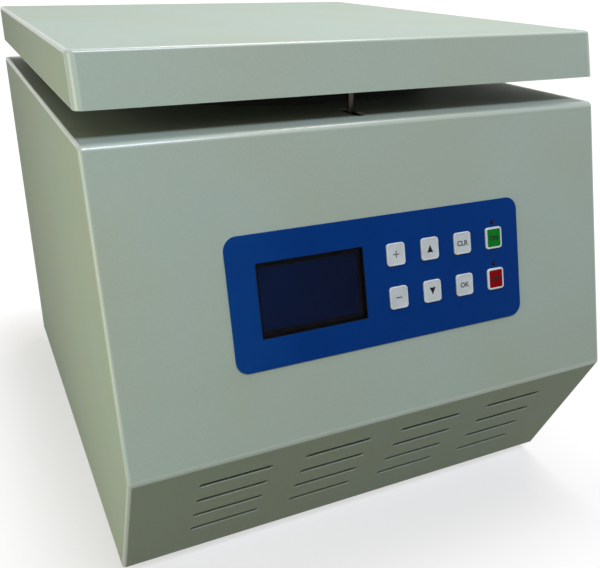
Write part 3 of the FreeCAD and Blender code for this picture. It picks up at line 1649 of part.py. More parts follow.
cabinetShell()
baseAndRear()
chamber()
motor()
rotorPieces()
keypad()
lid()
hinges()
lidLock()
fan()
mains()
electronics()
screws()
doc.recompute()

for thing in doc.Objects:
    if "Invalid" in thing.State or "Error" in thing.State:
        raise RuntimeError("%s (%s) did not compute" % (thing.Name, thing.Label))
for part in subParts:
    if part.Shape.isNull() or not part.Shape.isValid() or not part.Shape.Solids:
        raise RuntimeError("%s is not a valid solid" % part.Label)

os.makedirs("parts", exist_ok=True)
total = FreeCAD.BoundBox()
for part in subParts:
    part.Shape.exportStep("parts/%s.step" % part.Label)
    total.add(part.Shape.BoundBox)
print("%d sub-parts" % len(subParts))
print("box x %.1f..%.1f, y %.1f..%.1f, z %.1f..%.1f" % (
    total.XMin, total.XMax, total.YMin, total.YMax, total.ZMin, total.ZMax))
print("hinge axis y %.2f z %.2f" % (value(hingeY), value(hingeZ)))
print("face leans %.3f degrees, chin %.3f" % (value("atan(%s)" % faceSlope), value("atan(%s)" % chinSlope)))
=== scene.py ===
import json
import math

import bmesh
import bpy
from mathutils import Matrix, Vector


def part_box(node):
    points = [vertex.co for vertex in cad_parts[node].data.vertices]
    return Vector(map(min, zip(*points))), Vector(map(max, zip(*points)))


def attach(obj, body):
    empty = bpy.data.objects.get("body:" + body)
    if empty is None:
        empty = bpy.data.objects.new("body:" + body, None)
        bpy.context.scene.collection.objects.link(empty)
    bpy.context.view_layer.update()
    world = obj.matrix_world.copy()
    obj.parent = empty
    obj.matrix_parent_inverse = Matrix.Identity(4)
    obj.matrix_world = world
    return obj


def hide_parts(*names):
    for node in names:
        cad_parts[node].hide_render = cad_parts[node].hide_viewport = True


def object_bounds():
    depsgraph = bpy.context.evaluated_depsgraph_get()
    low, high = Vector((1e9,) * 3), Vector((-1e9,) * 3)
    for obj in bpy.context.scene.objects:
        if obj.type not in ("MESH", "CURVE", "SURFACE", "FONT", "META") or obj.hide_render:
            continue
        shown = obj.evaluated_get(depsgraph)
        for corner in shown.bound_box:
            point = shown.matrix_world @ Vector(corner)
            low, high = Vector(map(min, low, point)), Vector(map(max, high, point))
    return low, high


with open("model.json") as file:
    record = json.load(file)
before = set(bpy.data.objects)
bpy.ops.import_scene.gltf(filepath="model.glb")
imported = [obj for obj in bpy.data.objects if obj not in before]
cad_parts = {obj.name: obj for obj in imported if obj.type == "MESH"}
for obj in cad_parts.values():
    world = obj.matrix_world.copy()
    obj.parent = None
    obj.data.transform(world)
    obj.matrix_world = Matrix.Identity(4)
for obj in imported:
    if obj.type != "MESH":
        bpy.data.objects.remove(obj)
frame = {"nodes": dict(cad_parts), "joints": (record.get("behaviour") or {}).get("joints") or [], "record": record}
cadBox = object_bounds()
nodes = frame["nodes"]
joints = {joint["name"]: joint for joint in frame["joints"]}
bodies = frame["record"]["behaviour"]["bodies"]
bodyOf = {node: body for body, members in bodies.items() for node in members}
mm = 0.001


# shader maths: a wire is one socket, and sums and products on it add Math nodes
class Wire:
    def __init__(self, tree, socket=None):
        self.tree = tree
        self.socket = socket

    def node(self, kind, settings=(), out=0, **values):
        # a value goes to the socket of its name, or by number where the name is such as _0
        made = self.tree.nodes.new("ShaderNode" + kind)
        for name, setting in dict(settings).items():
            setattr(made, name, setting)
        for name, given in values.items():
            if name[0] == "_":
                socket = made.inputs[int(name[1:])]
            else:
                socket = made.inputs[name.replace("_", " ")]
            if isinstance(given, Wire):
                self.tree.links.new(given.socket, socket)
            elif isinstance(given, tuple) and socket.type == "RGBA":
                socket.default_value = (*given[:3], 1.0)
            else:
                socket.default_value = given
        return Wire(self.tree, made.outputs[out])

    def math(self, operation, first, second):
        return self.node("Math", {"operation": operation}, _0=first, _1=second)

    def __add__(self, other):
        return self.math("ADD", self, other)

    def __sub__(self, other):
        return self.math("SUBTRACT", self, other)

    def __rsub__(self, other):
        return self.math("SUBTRACT", other, self)

    def __mul__(self, other):
        return self.math("MULTIPLY", self, other)

    __radd__ = __add__
    __rmul__ = __mul__

    def mix(self, first, second):
        # this wire is the factor between two colours
        return self.node("Mix", {"data_type": "RGBA"}, out=2, _0=self, _6=first, _7=second)

    def ramp(self, low, high):
        # rises smoothly from 0 at low to 1 at high
        smooth = {"interpolation_type": "SMOOTHSTEP"}
        return self.node("MapRange", smooth, Value=self, From_Min=low, From_Max=high)

    def fade(self, low, high):
        # the same in a straight line
        return self.node("MapRange", Value=self, From_Min=low, From_Max=high)

    def noise(self, size, detail=2.0, roughness=0.5, stretch=(1, 1, 1)):
        # size is the width of one cell in metres
        scaled = self.node("Mapping", Vector=self, Scale=stretch)
        return self.node("TexNoise", Vector=scaled, Scale=1 / size, Detail=detail, Roughness=roughness)

    def bump(self, depth, strength=1.0):
        return self.node("Bump", Height=self, Distance=depth, Strength=strength)


def startMaterial(name, **fixed):
    made = bpy.data.materials.new(name)
    made.use_nodes = True
    tree = made.node_tree
    shader = next(node for node in tree.nodes if node.type == "BSDF_PRINCIPLED")
    for socket, constant in fixed.items():
        if isinstance(constant, tuple):
            constant = (*constant[:3], 1.0)
        shader.inputs[socket.replace("_", " ")].default_value = constant
    place = Wire(tree).node("TexCoord", out=3)

    def feed(**wires):
        for socket, wire in wires.items():
            tree.links.new(wire.socket, shader.inputs[socket.replace("_", " ")])

    return made, place, feed


def shade(colour, factor):
    return tuple(min(1.0, part * factor) for part in colour[:3])


def drift(cloud, colour, dark, pale):
    # a colour that wanders slowly between a darker and a paler shade
    return cloud.ramp(0.3, 0.7).mix(shade(colour, dark), shade(colour, pale))


paint = {
    "colour": (0.475, 0.575, 0.505),
    "cloud": 0.025,  # how far the tint drifts across a panel
    "cloudSize": 0.11,
    "peelSize": 0.0016,  # orange peel of the powder coat
    "peelDepth": 0.00011,
    "peelStrength": 0.6,
    "speck": 0.18,  # how much of the dark speckle shows
    "coat": 0.0,
    "coatRoughness": 0.15,
    "roughness": 0.58,
    "shine": 0.15,
}
# over a fold the powder coat lies thinner and glossier
bend = {**paint, "roughness": 0.34, "shine": 0.9, "coat": 0.4}


def powderCoat(name, style=paint, colour=None):
    colour = colour or style["colour"]
    made, place, feed = startMaterial(
        name,
        Specular_IOR_Level=style["shine"],
        Coat_Weight=style["coat"],
        Coat_Roughness=style["coatRoughness"],
    )
    cloud = place.noise(style["cloudSize"], 3.0)
    speck = place.noise(style["peelSize"] * 0.6, 1.0)
    tint = cloud.ramp(0.3, 0.7)
    warm = shade((colour[0] * 1.03, colour[1], colour[2] * 0.96), 1 - style["cloud"])
    cool = shade((colour[0] * 0.98, colour[1], colour[2] * 1.03), 1 + style["cloud"])
    base = tint.mix(warm, cool)
    base = (speck.ramp(0.35, 0.75) * style["speck"]).mix(base, shade(colour, 0.7))
    peel = place.noise(style["peelSize"], 2.0, 0.6)
    feed(
        Base_Color=base,
        Roughness=cloud * 0.08 + (style["roughness"] - 0.04),
        Normal=peel.bump(style["peelDepth"], style["peelStrength"]),
    )
    return made


def bareMetal(name, colour, roughness=0.3, brushed=(1, 1, 1), grain=0.0004, depth=0.00001):
    # brushed stretches the grain: the larger a number, the finer the lines along that axis
    made, place, feed = startMaterial(name, Metallic=1.0)
    lines = place.noise(grain, 3.0, 0.6, brushed)
    cloud = place.noise(0.03, 3.0)
    base = drift(cloud, colour, 0.88, 1.06)
    base = (lines.ramp(0.45, 0.75) * 0.25).mix(base, shade(colour, 0.7))
    feed(
        Base_Color=base,
        Roughness=lines * 0.14 + cloud * 0.10 + (roughness - 0.12),
        Normal=lines.bump(depth, 0.5),
    )
    return made


def turnedMetal(name, colour, centre, roughness=0.28, pitch=0.0012, depth=0.000012):
    # fine rings round a vertical axis through the centre
    made, place, feed = startMaterial(name, Metallic=1.0)
    local = place.node("Mapping", {"vector_type": "TEXTURE"}, Vector=place, Location=tuple(centre))
    flat = local.node("VectorMath", {"operation": "MULTIPLY"}, _0=local, _1=(1.0, 1.0, 0.0))
    radius = flat.node("VectorMath", {"operation": "LENGTH"}, out=1, _0=flat)
    height = local.node("SeparateXYZ", out=2, Vector=local)
    along = radius.node("CombineXYZ", X=radius, Y=height)
    rings = along.noise(pitch, 2.0, 0.7)
    cloud = place.noise(0.04, 3.0)
    base = drift(cloud, colour, 0.9, 1.05)
    base = (rings.ramp(0.45, 0.7) * 0.2).mix(base, shade(colour, 0.72))
    feed(
        Base_Color=base,
        Roughness=rings * 0.16 + (roughness - 0.06),
        Normal=rings.bump(depth, 0.5),
    )
    return made


def mouldedPlastic(name, colour, roughness=0.45, grain=0.0006, depth=0.00003, coat=0.0, shine=0.4):
    made, place, feed = startMaterial(name, Coat_Weight=coat, Coat_Roughness=0.2, Specular_IOR_Level=shine)
    skin = place.noise(grain, 2.0)
    cloud = place.noise(0.012, 2.0)
    base = drift(cloud, colour, 0.93, 1.06)
    feed(
        Base_Color=base,
        Roughness=skin * 0.12 + (roughness - 0.06),
        Normal=skin.bump(depth, 0.5),
    )
    return made


def softRubber(name, colour=(0.025, 0.025, 0.025)):
    made, place, feed = startMaterial(name, Specular_IOR_Level=0.35)
    dust = place.noise(0.004, 4.0)
    skin = place.noise(0.0004, 2.0)
    base = (dust.ramp(0.45, 0.8) * 0.5).mix(colour, shade(colour, 2.2))
    feed(Base_Color=base, Roughness=dust * 0.2 + 0.62, Normal=skin.bump(0.00004, 0.5))
    return made


film = {
    "colour": (0.0009, 0.044, 0.250),
    "pale": (0.0035, 0.060, 0.290),  # painted sheen: the film's colour is paler at its left end
    "sheenReach": 0.25,  # the share of its width over which the painted sheen fades
    "shine": 0.06,
    "roughness": 0.34,
    "grain": 0.0005,
    "grainDepth": 0.00001,
    "cloudSize": 0.03,
}


def printedFilm(name):
    made, place, feed = startMaterial(name, Specular_IOR_Level=film["shine"])
    low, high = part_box("keypad_overlay")
    across = place.node("SeparateXYZ", Vector=place)
    sheenFade = across.fade(low.x, low.x + film["sheenReach"] * (high.x - low.x))
    cloud = place.noise(film["cloudSize"], 2.0)
    grain = place.noise(film["grain"], 1.0)
    # painted sheen: the film's colour grows paler towards its left end
    base = sheenFade.mix(film["pale"], film["colour"])
    base = (cloud.ramp(0.35, 0.7) * 0.25).mix(base, shade(film["colour"], 0.8))
    feed(
        Base_Color=base,
        Roughness=grain * 0.1 + (film["roughness"] - 0.05),
        Normal=grain.bump(film["grainDepth"], 0.4),
    )
    return made


def tintedPane(name):
    made, place, feed = startMaterial(name, Transmission_Weight=1.0, IOR=1.1, Specular_IOR_Level=0.15)
    smear = place.noise(0.02, 3.0)
    base = smear.ramp(0.3, 0.7).mix((0.60, 0.66, 0.82), (0.66, 0.72, 0.88))
    feed(Base_Color=base, Roughness=smear * 0.06 + 0.02)
    return made


def circuitBoard(name):
    made, place, feed = startMaterial(name, Coat_Weight=0.4, Coat_Roughness=0.15)
    tracks = place.noise(0.004, 1.0, 0.3, (1, 4, 4))
    base = tracks.ramp(0.48, 0.52).mix((0.01, 0.09, 0.035), (0.02, 0.16, 0.06))
    feed(
        Base_Color=base,
        Roughness=tracks * 0.1 + 0.35,
        Normal=tracks.ramp(0.47, 0.53).bump(0.00003, 0.5),
    )
    return made


meshing = {
    "nodeMerge": 5e-6,  # how near two points are to be one
    "pieceMerge": 1e-6,
    "letterMerge": 1e-5,
    "flat": 0.5,  # degrees within which neighbouring facets are one flat wall
    "steep": 50,  # degrees from which an edge is a rim that can be eased
    "steadyWeight": 80,  # how much a large face rules the shading of a small one
    "towards": 0.9,  # the least cosine with which a face counts as facing a way
}


def camelName(node):
    words = node.title().replace("_", "")
    return words[0].lower() + words[1:]


def finishPiece(name, bm, finish, body, replaced=(), sharp=35.0, weighted=True):
    # a mesh object at the origin that rides its body; sharp is in degrees
    mesh = bpy.data.meshes.new(name)
    bmesh.ops.remove_doubles(bm, verts=bm.verts, dist=meshing["pieceMerge"])
    bm.to_mesh(mesh)
    bm.free()
    for made in finish if isinstance(finish, (list, tuple)) else [finish]:
        mesh.materials.append(made)
    mesh.shade_smooth()
    mesh.set_sharp_from_angle(angle=math.radians(sharp))
    piece = bpy.data.objects.new(name, mesh)
    bpy.context.scene.collection.objects.link(piece)
    if weighted:
        steady = piece.modifiers.new("steadyNormals", "WEIGHTED_NORMAL")
        steady.keep_sharp = True
        steady.weight = meshing["steadyWeight"]
    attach(piece, body)
    if replaced:
        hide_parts(*replaced)


def copyOf(node):
    # merged, with each flat wall made whole, so that its shading stays flat beside a fillet
    bm = bmesh.new()
    bm.from_mesh(nodes[node].data)
    bmesh.ops.remove_doubles(bm, verts=bm.verts, dist=meshing["nodeMerge"])
    flat = math.radians(meshing["flat"])
    bmesh.ops.dissolve_limit(bm, angle_limit=flat, verts=bm.verts, edges=bm.edges)
    return bm


def easeEdges(bm, edges, reach, steps=2, clamped=False):
    bmesh.ops.bevel(
        bm,
        geom=edges,
        offset=reach,
        affect="EDGES",
        segments=steps,
        profile=0.5,
        material=-1,
        clamp_overlap=clamped,
    )


def dress(node, finish, ease=0.0, pick=None, bm=None):
    # a copy of the node with its folds smooth and, if asked, its sharp rims eased;
    # pick gives each face the number of its finish
    bm = bm or copyOf(node)
    if ease:
        steep = math.radians(meshing["steep"])
        rims = [edge for edge in bm.edges if edge.is_manifold and edge.calc_face_angle(0) > steep]
        easeEdges(bm, rims, ease, clamped=True)
    if pick:
        for face in bm.faces:
            face.material_index = pick(face)
    finishPiece(camelName(node), bm, finish, bodyOf[node], [node])


print("materials and helpers ready")

# the tilted keypad face: x to the right, y up the slope, z out of it, zero in the middle of the film
faceOut = -Vector(joints["key_plus_press"]["axis"]).normalized()
faceUp = faceOut.cross(Vector((1, 0, 0)))
faceAxes = (Vector((1, 0, 0)), faceUp, faceOut)


def spans(node, axes):
    # how far the node reaches along each axis
    found = []
    for axis in axes:
        along = [corner.co.dot(axis) for corner in nodes[node].data.vertices]
        found.append((min(along), max(along)))
    return found


acrossFilm, upFilm, outOfFilm = spans("keypad_overlay", faceAxes)
faceOrigin = faceAxes[0] * (sum(acrossFilm) / 2) + faceUp * (sum(upFilm) / 2) + faceOut * outOfFilm[1]
faceFrame = Matrix.Translation(faceOrigin) @ Matrix(faceAxes).transposed().to_4x4()


def onFace(node):
    # the node's middle, size and height in the face's own frame
    reaches = [
        (low - axis.dot(faceOrigin), high - axis.dot(faceOrigin))
        for axis, (low, high) in zip(faceAxes, spans(node, faceAxes))
    ]
    middle = [(low + high) / 2 for low, high in reaches[:2]]
    size = [high - low for low, high in reaches[:2]]
    return middle, size, reaches[2]


def slab(bm, size, corner, low, high, ease=0.0, middle=(0, 0)):
    # a plate with rounded corners and, if asked, an eased top rim; returns its top face
    corners, faces = set(bm.verts), set(bm.faces)
    bmesh.ops.create_grid(bm, x_segments=1, y_segments=1, size=0.5)
    fresh = [vertex for vertex in bm.verts if vertex not in corners]
    for vertex in fresh:
        across, along = (1 if part > 0 else -1 for part in vertex.co[:2])
        vertex.co = (middle[0] + across * size[0] / 2, middle[1] + along * size[1] / 2, low)
    bmesh.ops.bevel(
        bm, geom=fresh, offset=corner, segments=6, affect="VERTICES", profile=0.5, material=-1
    )
    base = next(face for face in bm.faces if face not in faces)
    grown = bmesh.ops.extrude_face_region(bm, geom=[base], use_keep_orig=True)["geom"]
    for part in grown:
        if isinstance(part, bmesh.types.BMVert):
            part.co.z = high
    top = next(part for part in grown if isinstance(part, bmesh.types.BMFace))
    if ease:
        easeEdges(bm, list(top.edges), ease, 3)
        fresh = [face for face in bm.faces if face not in faces]
        top = max(fresh, key=lambda face: (round(face.calc_center_median().z, 6), face.calc_area()))
    bmesh.ops.recalc_face_normals(bm, faces=[face for face in bm.faces if face not in faces])
    return top


def facing(bm):
    # from the face's own frame to its place on the cabinet
    bmesh.ops.transform(bm, matrix=faceFrame, verts=bm.verts)
    return bm


def prism(bm, points, thick):
    # a flat outline raised into a thin closed plate
    base = bm.faces.new([bm.verts.new((x, y, 0)) for x, y in points])
    grown = bmesh.ops.extrude_face_region(bm, geom=[base], use_keep_orig=True)["geom"]
    for part in grown:
        if isinstance(part, bmesh.types.BMVert):
            part.co.z = thick
    bmesh.ops.recalc_face_normals(bm, faces=bm.faces)
    return bm


def word(text, height, thick, weight=0.03):
    # letters as a thin closed plate, centred on zero; weight fattens their strokes
    letters = bpy.data.curves.new("letters", "FONT")
    letters.body = text
    letters.align_x = "CENTER"
    letters.align_y = "CENTER"
    letters.offset = weight
    letters.resolution_u = 3
    letters.extrude = 0.02  # any depth will do: the plate is scaled to its thickness below
    holder = bpy.data.objects.new("letters", letters)
    bpy.context.scene.collection.objects.link(holder)
    bpy.context.view_layer.update()
    flat = bpy.data.meshes.new_from_object(holder.evaluated_get(bpy.context.evaluated_depsgraph_get()))
    bpy.data.objects.remove(holder)
    bm = bmesh.new()
    bm.from_mesh(flat)
    bpy.data.meshes.remove(flat)
    bmesh.ops.remove_doubles(bm, verts=bm.verts, dist=meshing["letterMerge"])
    low = Vector([min(corner.co[k] for corner in bm.verts) for k in range(3)])
    high = Vector([max(corner.co[k] for corner in bm.verts) for k in range(3)])
    seat = Vector(((low.x + high.x) / 2, (low.y + high.y) / 2, low.z))
    scale = height / (high.y - low.y)
    bmesh.ops.translate(bm, vec=-seat, verts=bm.verts)
    bmesh.ops.scale(bm, vec=(scale, scale, thick / (high.z - low.z)), verts=bm.verts)
    return bm


print("cabinet and lid")
centre = (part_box("rotor")[0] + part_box("rotor")[1]) / 2
zinc = (0.58, 0.59, 0.60)
hingeSteel = (0.42, 0.43, 0.44)
finishes = {
    "rear_panel": powderCoat("rearPaint"),
    "base_plate": bareMetal("zincTray", (0.56, 0.57, 0.58), 0.42, grain=0.003),
    "mid_deck": bareMetal("zincDeck", zinc, 0.40, grain=0.003),
    **{
        "deck_bracket_" + side: bareMetal("zincBracket" + side.title(), zinc, 0.40, grain=0.003)
        for side in ("left", "right")
    },
    "rubber_feet": softRubber("footRubber"),
    "chamber_gasket": softRubber("gasketRubber", (0.012, 0.012, 0.013)),
    "chamber_bowl": turnedMetal("bowlSteel", (0.66, 0.67, 0.68), centre, 0.26, 0.002),
    "guard_ring": turnedMetal("guardSteel", (0.30, 0.30, 0.31), centre, 0.45, 0.004, 0.00003),
    "shaft_boot": softRubber("bootRubber", (0.03, 0.03, 0.032)),
    "motor_dampers": softRubber("damperRubber", (0.02, 0.02, 0.02)),
    "motor_flange": bareMetal("flangeSteel", (0.50, 0.50, 0.50), 0.38, grain=0.001),
    "motor_housing": powderCoat("motorPaint", colour=(0.035, 0.038, 0.042)),
    "motor_end_cap": turnedMetal("capAlloy", (0.60, 0.60, 0.61), centre, 0.40, 0.0015),
    "motor_bearings": turnedMetal("bearingSteel", (0.62, 0.62, 0.62), centre, 0.2, 0.0006),
    "motor_shaft": turnedMetal("shaftSteel", (0.55, 0.55, 0.56), centre, 0.24, 0.0008),
    "rotor": turnedMetal("rotorAlloy", (0.68, 0.69, 0.70), centre, 0.30, 0.0011),
    "rotor_nut": turnedMetal("nutAlloy", (0.10, 0.11, 0.13), centre, 0.35, 0.0008),
    # partly painted shade: the liner is black paint, and its near black also stands in for the shade in the gap
    # under the lid
    "lid_liner": powderCoat("linerShadePaint", colour=(0.03, 0.031, 0.03)),
    # painted shade: the striker's steel is coloured dark brown, as it looks in the shade under the lid
    "striker_pin": bareMetal("strikerShadedSteel", (0.07, 0.058, 0.048), 0.3),
    "striker_nut": bareMetal("strikerNutSteel", (0.55, 0.54, 0.52), 0.35),
    "hinge_pins": bareMetal("pinSteel", (0.6, 0.6, 0.6), 0.22),
    "lock_bolt": bareMetal("boltSteel", (0.6, 0.6, 0.58), 0.28, (6, 1, 1)),
    "lock_plunger": bareMetal("plungerSteel", (0.6, 0.6, 0.6), 0.25, (6, 1, 1)),
    "lock_solenoid": bareMetal("solenoidSteel", (0.45, 0.44, 0.40), 0.4),
    "speed_sensor": mouldedPlastic("sensorPlastic", (0.02, 0.02, 0.02)),
    "board_standoffs": bareMetal("standoffBrass", (0.62, 0.48, 0.22), 0.3),
    "fan_frame": mouldedPlastic("fanFramePlastic", (0.018, 0.018, 0.019), 0.5),
    "fan_impeller": mouldedPlastic("fanBladePlastic", (0.025, 0.025, 0.027), 0.42),
    "fan_grille": bareMetal("grilleWire", (0.66, 0.66, 0.66), 0.25),
    "heat_sink": bareMetal("finAlloy", (0.70, 0.71, 0.72), 0.42, (1, 1, 6)),
    "inlet_pins": bareMetal("inletPinMetal", (0.72, 0.70, 0.62), 0.2),
    "wiring_loom": mouldedPlastic("loomSheath", (0.022, 0.022, 0.024), 0.45),
}
for node, finish in finishes.items():
    dress(node, finish)

# pieces with eased rims: bent steel and moulded plastic, each with its finish and easing
easedRims = {
    **{
        "hinge_arm_" + side: (bareMetal("armSteel" + side.title(), hingeSteel, 0.38), 0.4 * mm)
        for side in ("left", "right")
    },
    **{
        "hinge_base_" + side: (bareMetal("hingeSteel" + side.title(), hingeSteel, 0.38), 0.3 * mm)
        for side in ("left", "right")
    },
    "lock_housing": (mouldedPlastic("lockNylon", (0.03, 0.03, 0.032), 0.5), 0.6 * mm),
    "power_inlet": (mouldedPlastic("inletPlastic", (0.02, 0.02, 0.021), 0.4), 0.5 * mm),
    "switch_housing": (mouldedPlastic("switchPlastic", (0.02, 0.02, 0.021), 0.4), 0.4 * mm),
}
for node, (finish, ease) in easedRims.items():
    dress(node, finish, ease)

fold = {
    "walls": 12,
    "alike": 0.9995,  # the cosine from which a face lies in a wall's plane
    "hem": 0.5 * mm,
    "hemBand": 0.05 * mm,
}


def foldedSteel(node, paints, hem=0.0):
    # the largest flat walls take the first paint, folds and rims the second
    bm = copyOf(node)
    bySize = sorted(bm.faces, key=lambda face: face.calc_area())
    walls = [face.normal.copy() for face in bySize[-fold["walls"]:]]
    if hem:
        low = min(corner.co.z for corner in bm.verts) + fold["hemBand"]
        rims = [edge for edge in bm.edges if max(end.co.z for end in edge.verts) < low]
        easeEdges(bm, rims, hem)
        bm.normal_update()

    def isFold(face):
        return all(face.normal.dot(wall) < fold["alike"] for wall in walls)

    dress(node, paints, bm=bm, pick=isFold)


foldedSteel("cabinet_shell", [powderCoat("cabinetPaint"), powderCoat("cabinetFoldPaint", bend)])
foldedSteel("lid_shell", [powderCoat("lidPaint"), powderCoat("lidFoldPaint", bend)], fold["hem"])

print("screws")
cross = {
    "head": 4.0 * mm,  # the screw head's radius
    "round": 0.7 * mm,
    "arm": 2.1 * mm,
    "half": 0.5 * mm,
    "deep": 1.1 * mm,
    "areaRange": (0.93, 1.02),  # a head's face is a polygon, a little smaller than its circle
}


def crossHeads(node, finish, outward=None):
    # rounds each screw head and sinks a cross in it
    bm = copyOf(node)

    def caps(radius):
        least, most = (share * math.pi * radius * radius for share in cross["areaRange"])
        found = [face for face in bm.faces if least < face.calc_area() < most]
        if outward is not None:
            found = [face for face in found if face.normal.dot(outward) > meshing["towards"]]
        return found

    rims = [edge for face in caps(cross["head"]) for edge in face.edges]
    easeEdges(bm, rims, cross["round"], 3)
    bm.normal_update()
    # three corners of one arm, then the same turned by a quarter each time
    arm, half = cross["arm"], cross["half"]
    quarter = [(arm, -half), (arm, half), (half, half)]
    outline = []
    while len(outline) < 12:
        outline += quarter
        quarter = [(-y, x) for x, y in quarter]
    for cap in caps(cross["head"] - cross["round"]):
        middle, out = cap.calc_center_median(), cap.normal.copy()
        side = out.orthogonal().normalized()
        up = out.cross(side)
        rim = list(cap.edges)
        bm.faces.remove(cap)
        slot = [bm.verts.new(middle + side * x + up * y) for x, y in outline]
        hole = [bm.edges.new(pair) for pair in zip(slot, slot[1:] + slot[:1])]
        bmesh.ops.bridge_loops(bm, edges=rim + hole)
        pit = bmesh.ops.extrude_edge_only(bm, edges=hole)["geom"]
        ends = [part for part in pit if isinstance(part, bmesh.types.BMVert)]
        bmesh.ops.translate(bm, vec=-out * cross["deep"], verts=ends)
        edges = [part for part in pit if isinstance(part, bmesh.types.BMEdge)]
        foot = [edge for edge in edges if all(end in ends for end in edge.verts)]
        bmesh.ops.contextual_create(bm, geom=foot)
    bmesh.ops.recalc_face_normals(bm, faces=bm.faces)
    dress(node, finish, bm=bm)


crossHeads("case_screws", bareMetal("caseScrewSteel", (0.55, 0.55, 0.54), 0.28))
crossHeads("lid_screws", bareMetal("lidScrewSteel", (0.55, 0.55, 0.54), 0.28), Vector((0, 0, -1)))

print("rotor places")
numeral = {
    "count": 6,
    "tall": 6 * mm,
    "radius": 37 * mm,
    "thick": 0.05 * mm,
    "sunk": 0.02 * mm,
    "weight": 0.02,
}
numeralInk = mouldedPlastic("numeralInk", (0.02, 0.02, 0.022), 0.5)
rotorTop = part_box("rotor")[1].z
hub = sum(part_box("motor_shaft"), Vector()) / 2
upright = Vector((0, 0, 1))
for k in range(numeral["count"]):
    turn = 2 * math.pi * k / numeral["count"]
    outward = Vector((math.cos(turn), math.sin(turn), 0))
    seat = hub + outward * numeral["radius"]
    seat.z = rotorTop - numeral["sunk"]
    stand = Matrix(((-outward).cross(upright), -outward, upright)).transposed().to_4x4()
    bm = word(str(k + 1), numeral["tall"], numeral["thick"], numeral["weight"])
    bmesh.ops.transform(bm, matrix=Matrix.Translation(seat) @ stand, verts=bm.verts)
    finishPiece("rotorNumeral%d" % (k + 1), bm, numeralInk, bodyOf["rotor"], weighted=False)

print("motor windings, boards and mains switch")
# the stack of laminations is what reaches the stator's full radius; the rest is winding
stator = {"skin": 0.1 * mm, "slack": 0.05 * mm}
corners = [corner.co - centre for corner in nodes["motor_stator"].data.vertices]
outer = max(corner.xy.length for corner in corners) - stator["skin"]
stack = [corner.z + centre.z for corner in corners if corner.xy.length > outer]
stackLow, stackHigh = min(stack) - stator["slack"], max(stack) + stator["slack"]


def isWinding(face):
    return not stackLow < face.calc_center_median().z < stackHigh


dress(
    "motor_stator",
    [
        bareMetal("statorSteel", (0.32, 0.32, 0.32), 0.4, (1, 1, 12)),
        turnedMetal("windingCopper", (0.62, 0.24, 0.09), centre, 0.3, 0.0009, 0.00005),
    ],
    pick=isWinding,
)
board = {"canTall": 45 * mm, "thick": 1.6 * mm, "skin": 0.1 * mm}
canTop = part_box("drive_board")[1].z
boardTop = canTop - board["canTall"]


def boardPart(face):
    # the numbers are places in the list of finishes that follows
    heights = [corner.co.z for corner in face.verts]
    low, high = min(heights), max(heights)
    if low > canTop - board["skin"]:
        return 2
    if high > canTop - board["skin"]:
        return 1
    if high > boardTop + board["skin"]:
        return 3
    return 4 if low < boardTop - board["thick"] - board["skin"] else 0


dress(
    "drive_board",
    [
        circuitBoard("driveBoard"),
        mouldedPlastic("canSleeve", (0.012, 0.014, 0.05), 0.3),
        bareMetal("canTop", (0.62, 0.62, 0.62), 0.35),
        mouldedPlastic("terminalNylon", (0.04, 0.11, 0.05), 0.45),
        bareMetal("postBrass", (0.62, 0.48, 0.22), 0.3),
    ],
    pick=boardPart,
)
keyBoardTop = spans("control_board", [faceOut])[0][0] + board["thick"]


def isSwitch(face):
    return max(corner.co.dot(faceOut) for corner in face.verts) > keyBoardTop + board["skin"]


keyBoardPaints = [circuitBoard("keyBoard"), mouldedPlastic("keySwitch", (0.02, 0.02, 0.022), 0.4)]
dress("control_board", keyBoardPaints, pick=isSwitch)

rockerMark = {"tall": 4.5 * mm, "thick": 0.05 * mm, "sunk": 0.02 * mm, "weight": 0.01}
rocker = copyOf("power_rocker")
backs = [face for face in rocker.faces if face.normal.y > meshing["towards"]]
backs.sort(key=lambda face: face.calc_area())
halves = [(face.calc_center_median(), face.normal.copy()) for face in backs[-2:]]
halves.sort(key=lambda half: half[0].z)
rocker.free()
rockerPlastic = mouldedPlastic("rockerPlastic", (0.03, 0.03, 0.032), 0.3, coat=0.2)
dress("power_rocker", rockerPlastic, 0.4 * mm)
rockerInk = mouldedPlastic("rockerInk", (0.75, 0.75, 0.74), 0.5)
right = Vector((-1, 0, 0))  # as seen from behind
for (middle, out), (name, sign) in zip(halves, (("rockerOffMark", "O"), ("rockerOnMark", "I"))):
    turn = Matrix((right, out.cross(right), out)).transposed().to_4x4()
    bm = word(sign, rockerMark["tall"], rockerMark["thick"], rockerMark["weight"])
    seat = Matrix.Translation(middle - out * rockerMark["sunk"])
    bmesh.ops.transform(bm, matrix=seat @ turn, verts=bm.verts)
    finishPiece(name, bm, rockerInk, bodyOf["power_rocker"], weighted=False)

print("film, window and lamps")
dress("keypad_overlay", printedFilm("panelFilm"))
dress("indicator_lights", mouldedPlastic("lampLens", (0.024, 0.004, 0.012), 0.3, shine=0.12))
dress("display_window", tintedPane("windowTint"))
screen = {
    "glass": (0.0002, 0.0032, 0.017),
    "pale": (0.0012, 0.0095, 0.034),  # painted reflection: the glass is paler at its left end
    "frame": (0.006, 0.005, 0.004),
    # painted shade: the colour of the bead along the window's cut edge
    "edge": (0.010, 0.008, 0.006),
    "lap": 2 * mm,  # how far the pane reaches under the steel
    "side": 1.9 * mm,  # frame seen at the glass's left and right
    "end": 2.2 * mm,  # and above and below it
    "aside": (-0.9 * mm, 1.0 * mm),  # the glass sits off the middle of its window
    "corner": 0.8 * mm,
    "ease": 0.1 * mm,
    "sunk": 1.4 * mm,
    "sheet": 0.5 * mm,
    "grain": 0.0005,
    "shine": 0.03,
}
# painted shade: a near-black bead lines the cut edge of the opening, standing in for the shade on that edge
shadeBead = {
    "wide": 0.25 * mm,
    "corner": 1 * mm,
    "slack": 0.02 * mm,
    "below": 0.15 * mm,  # how far its top stays under the film's
}


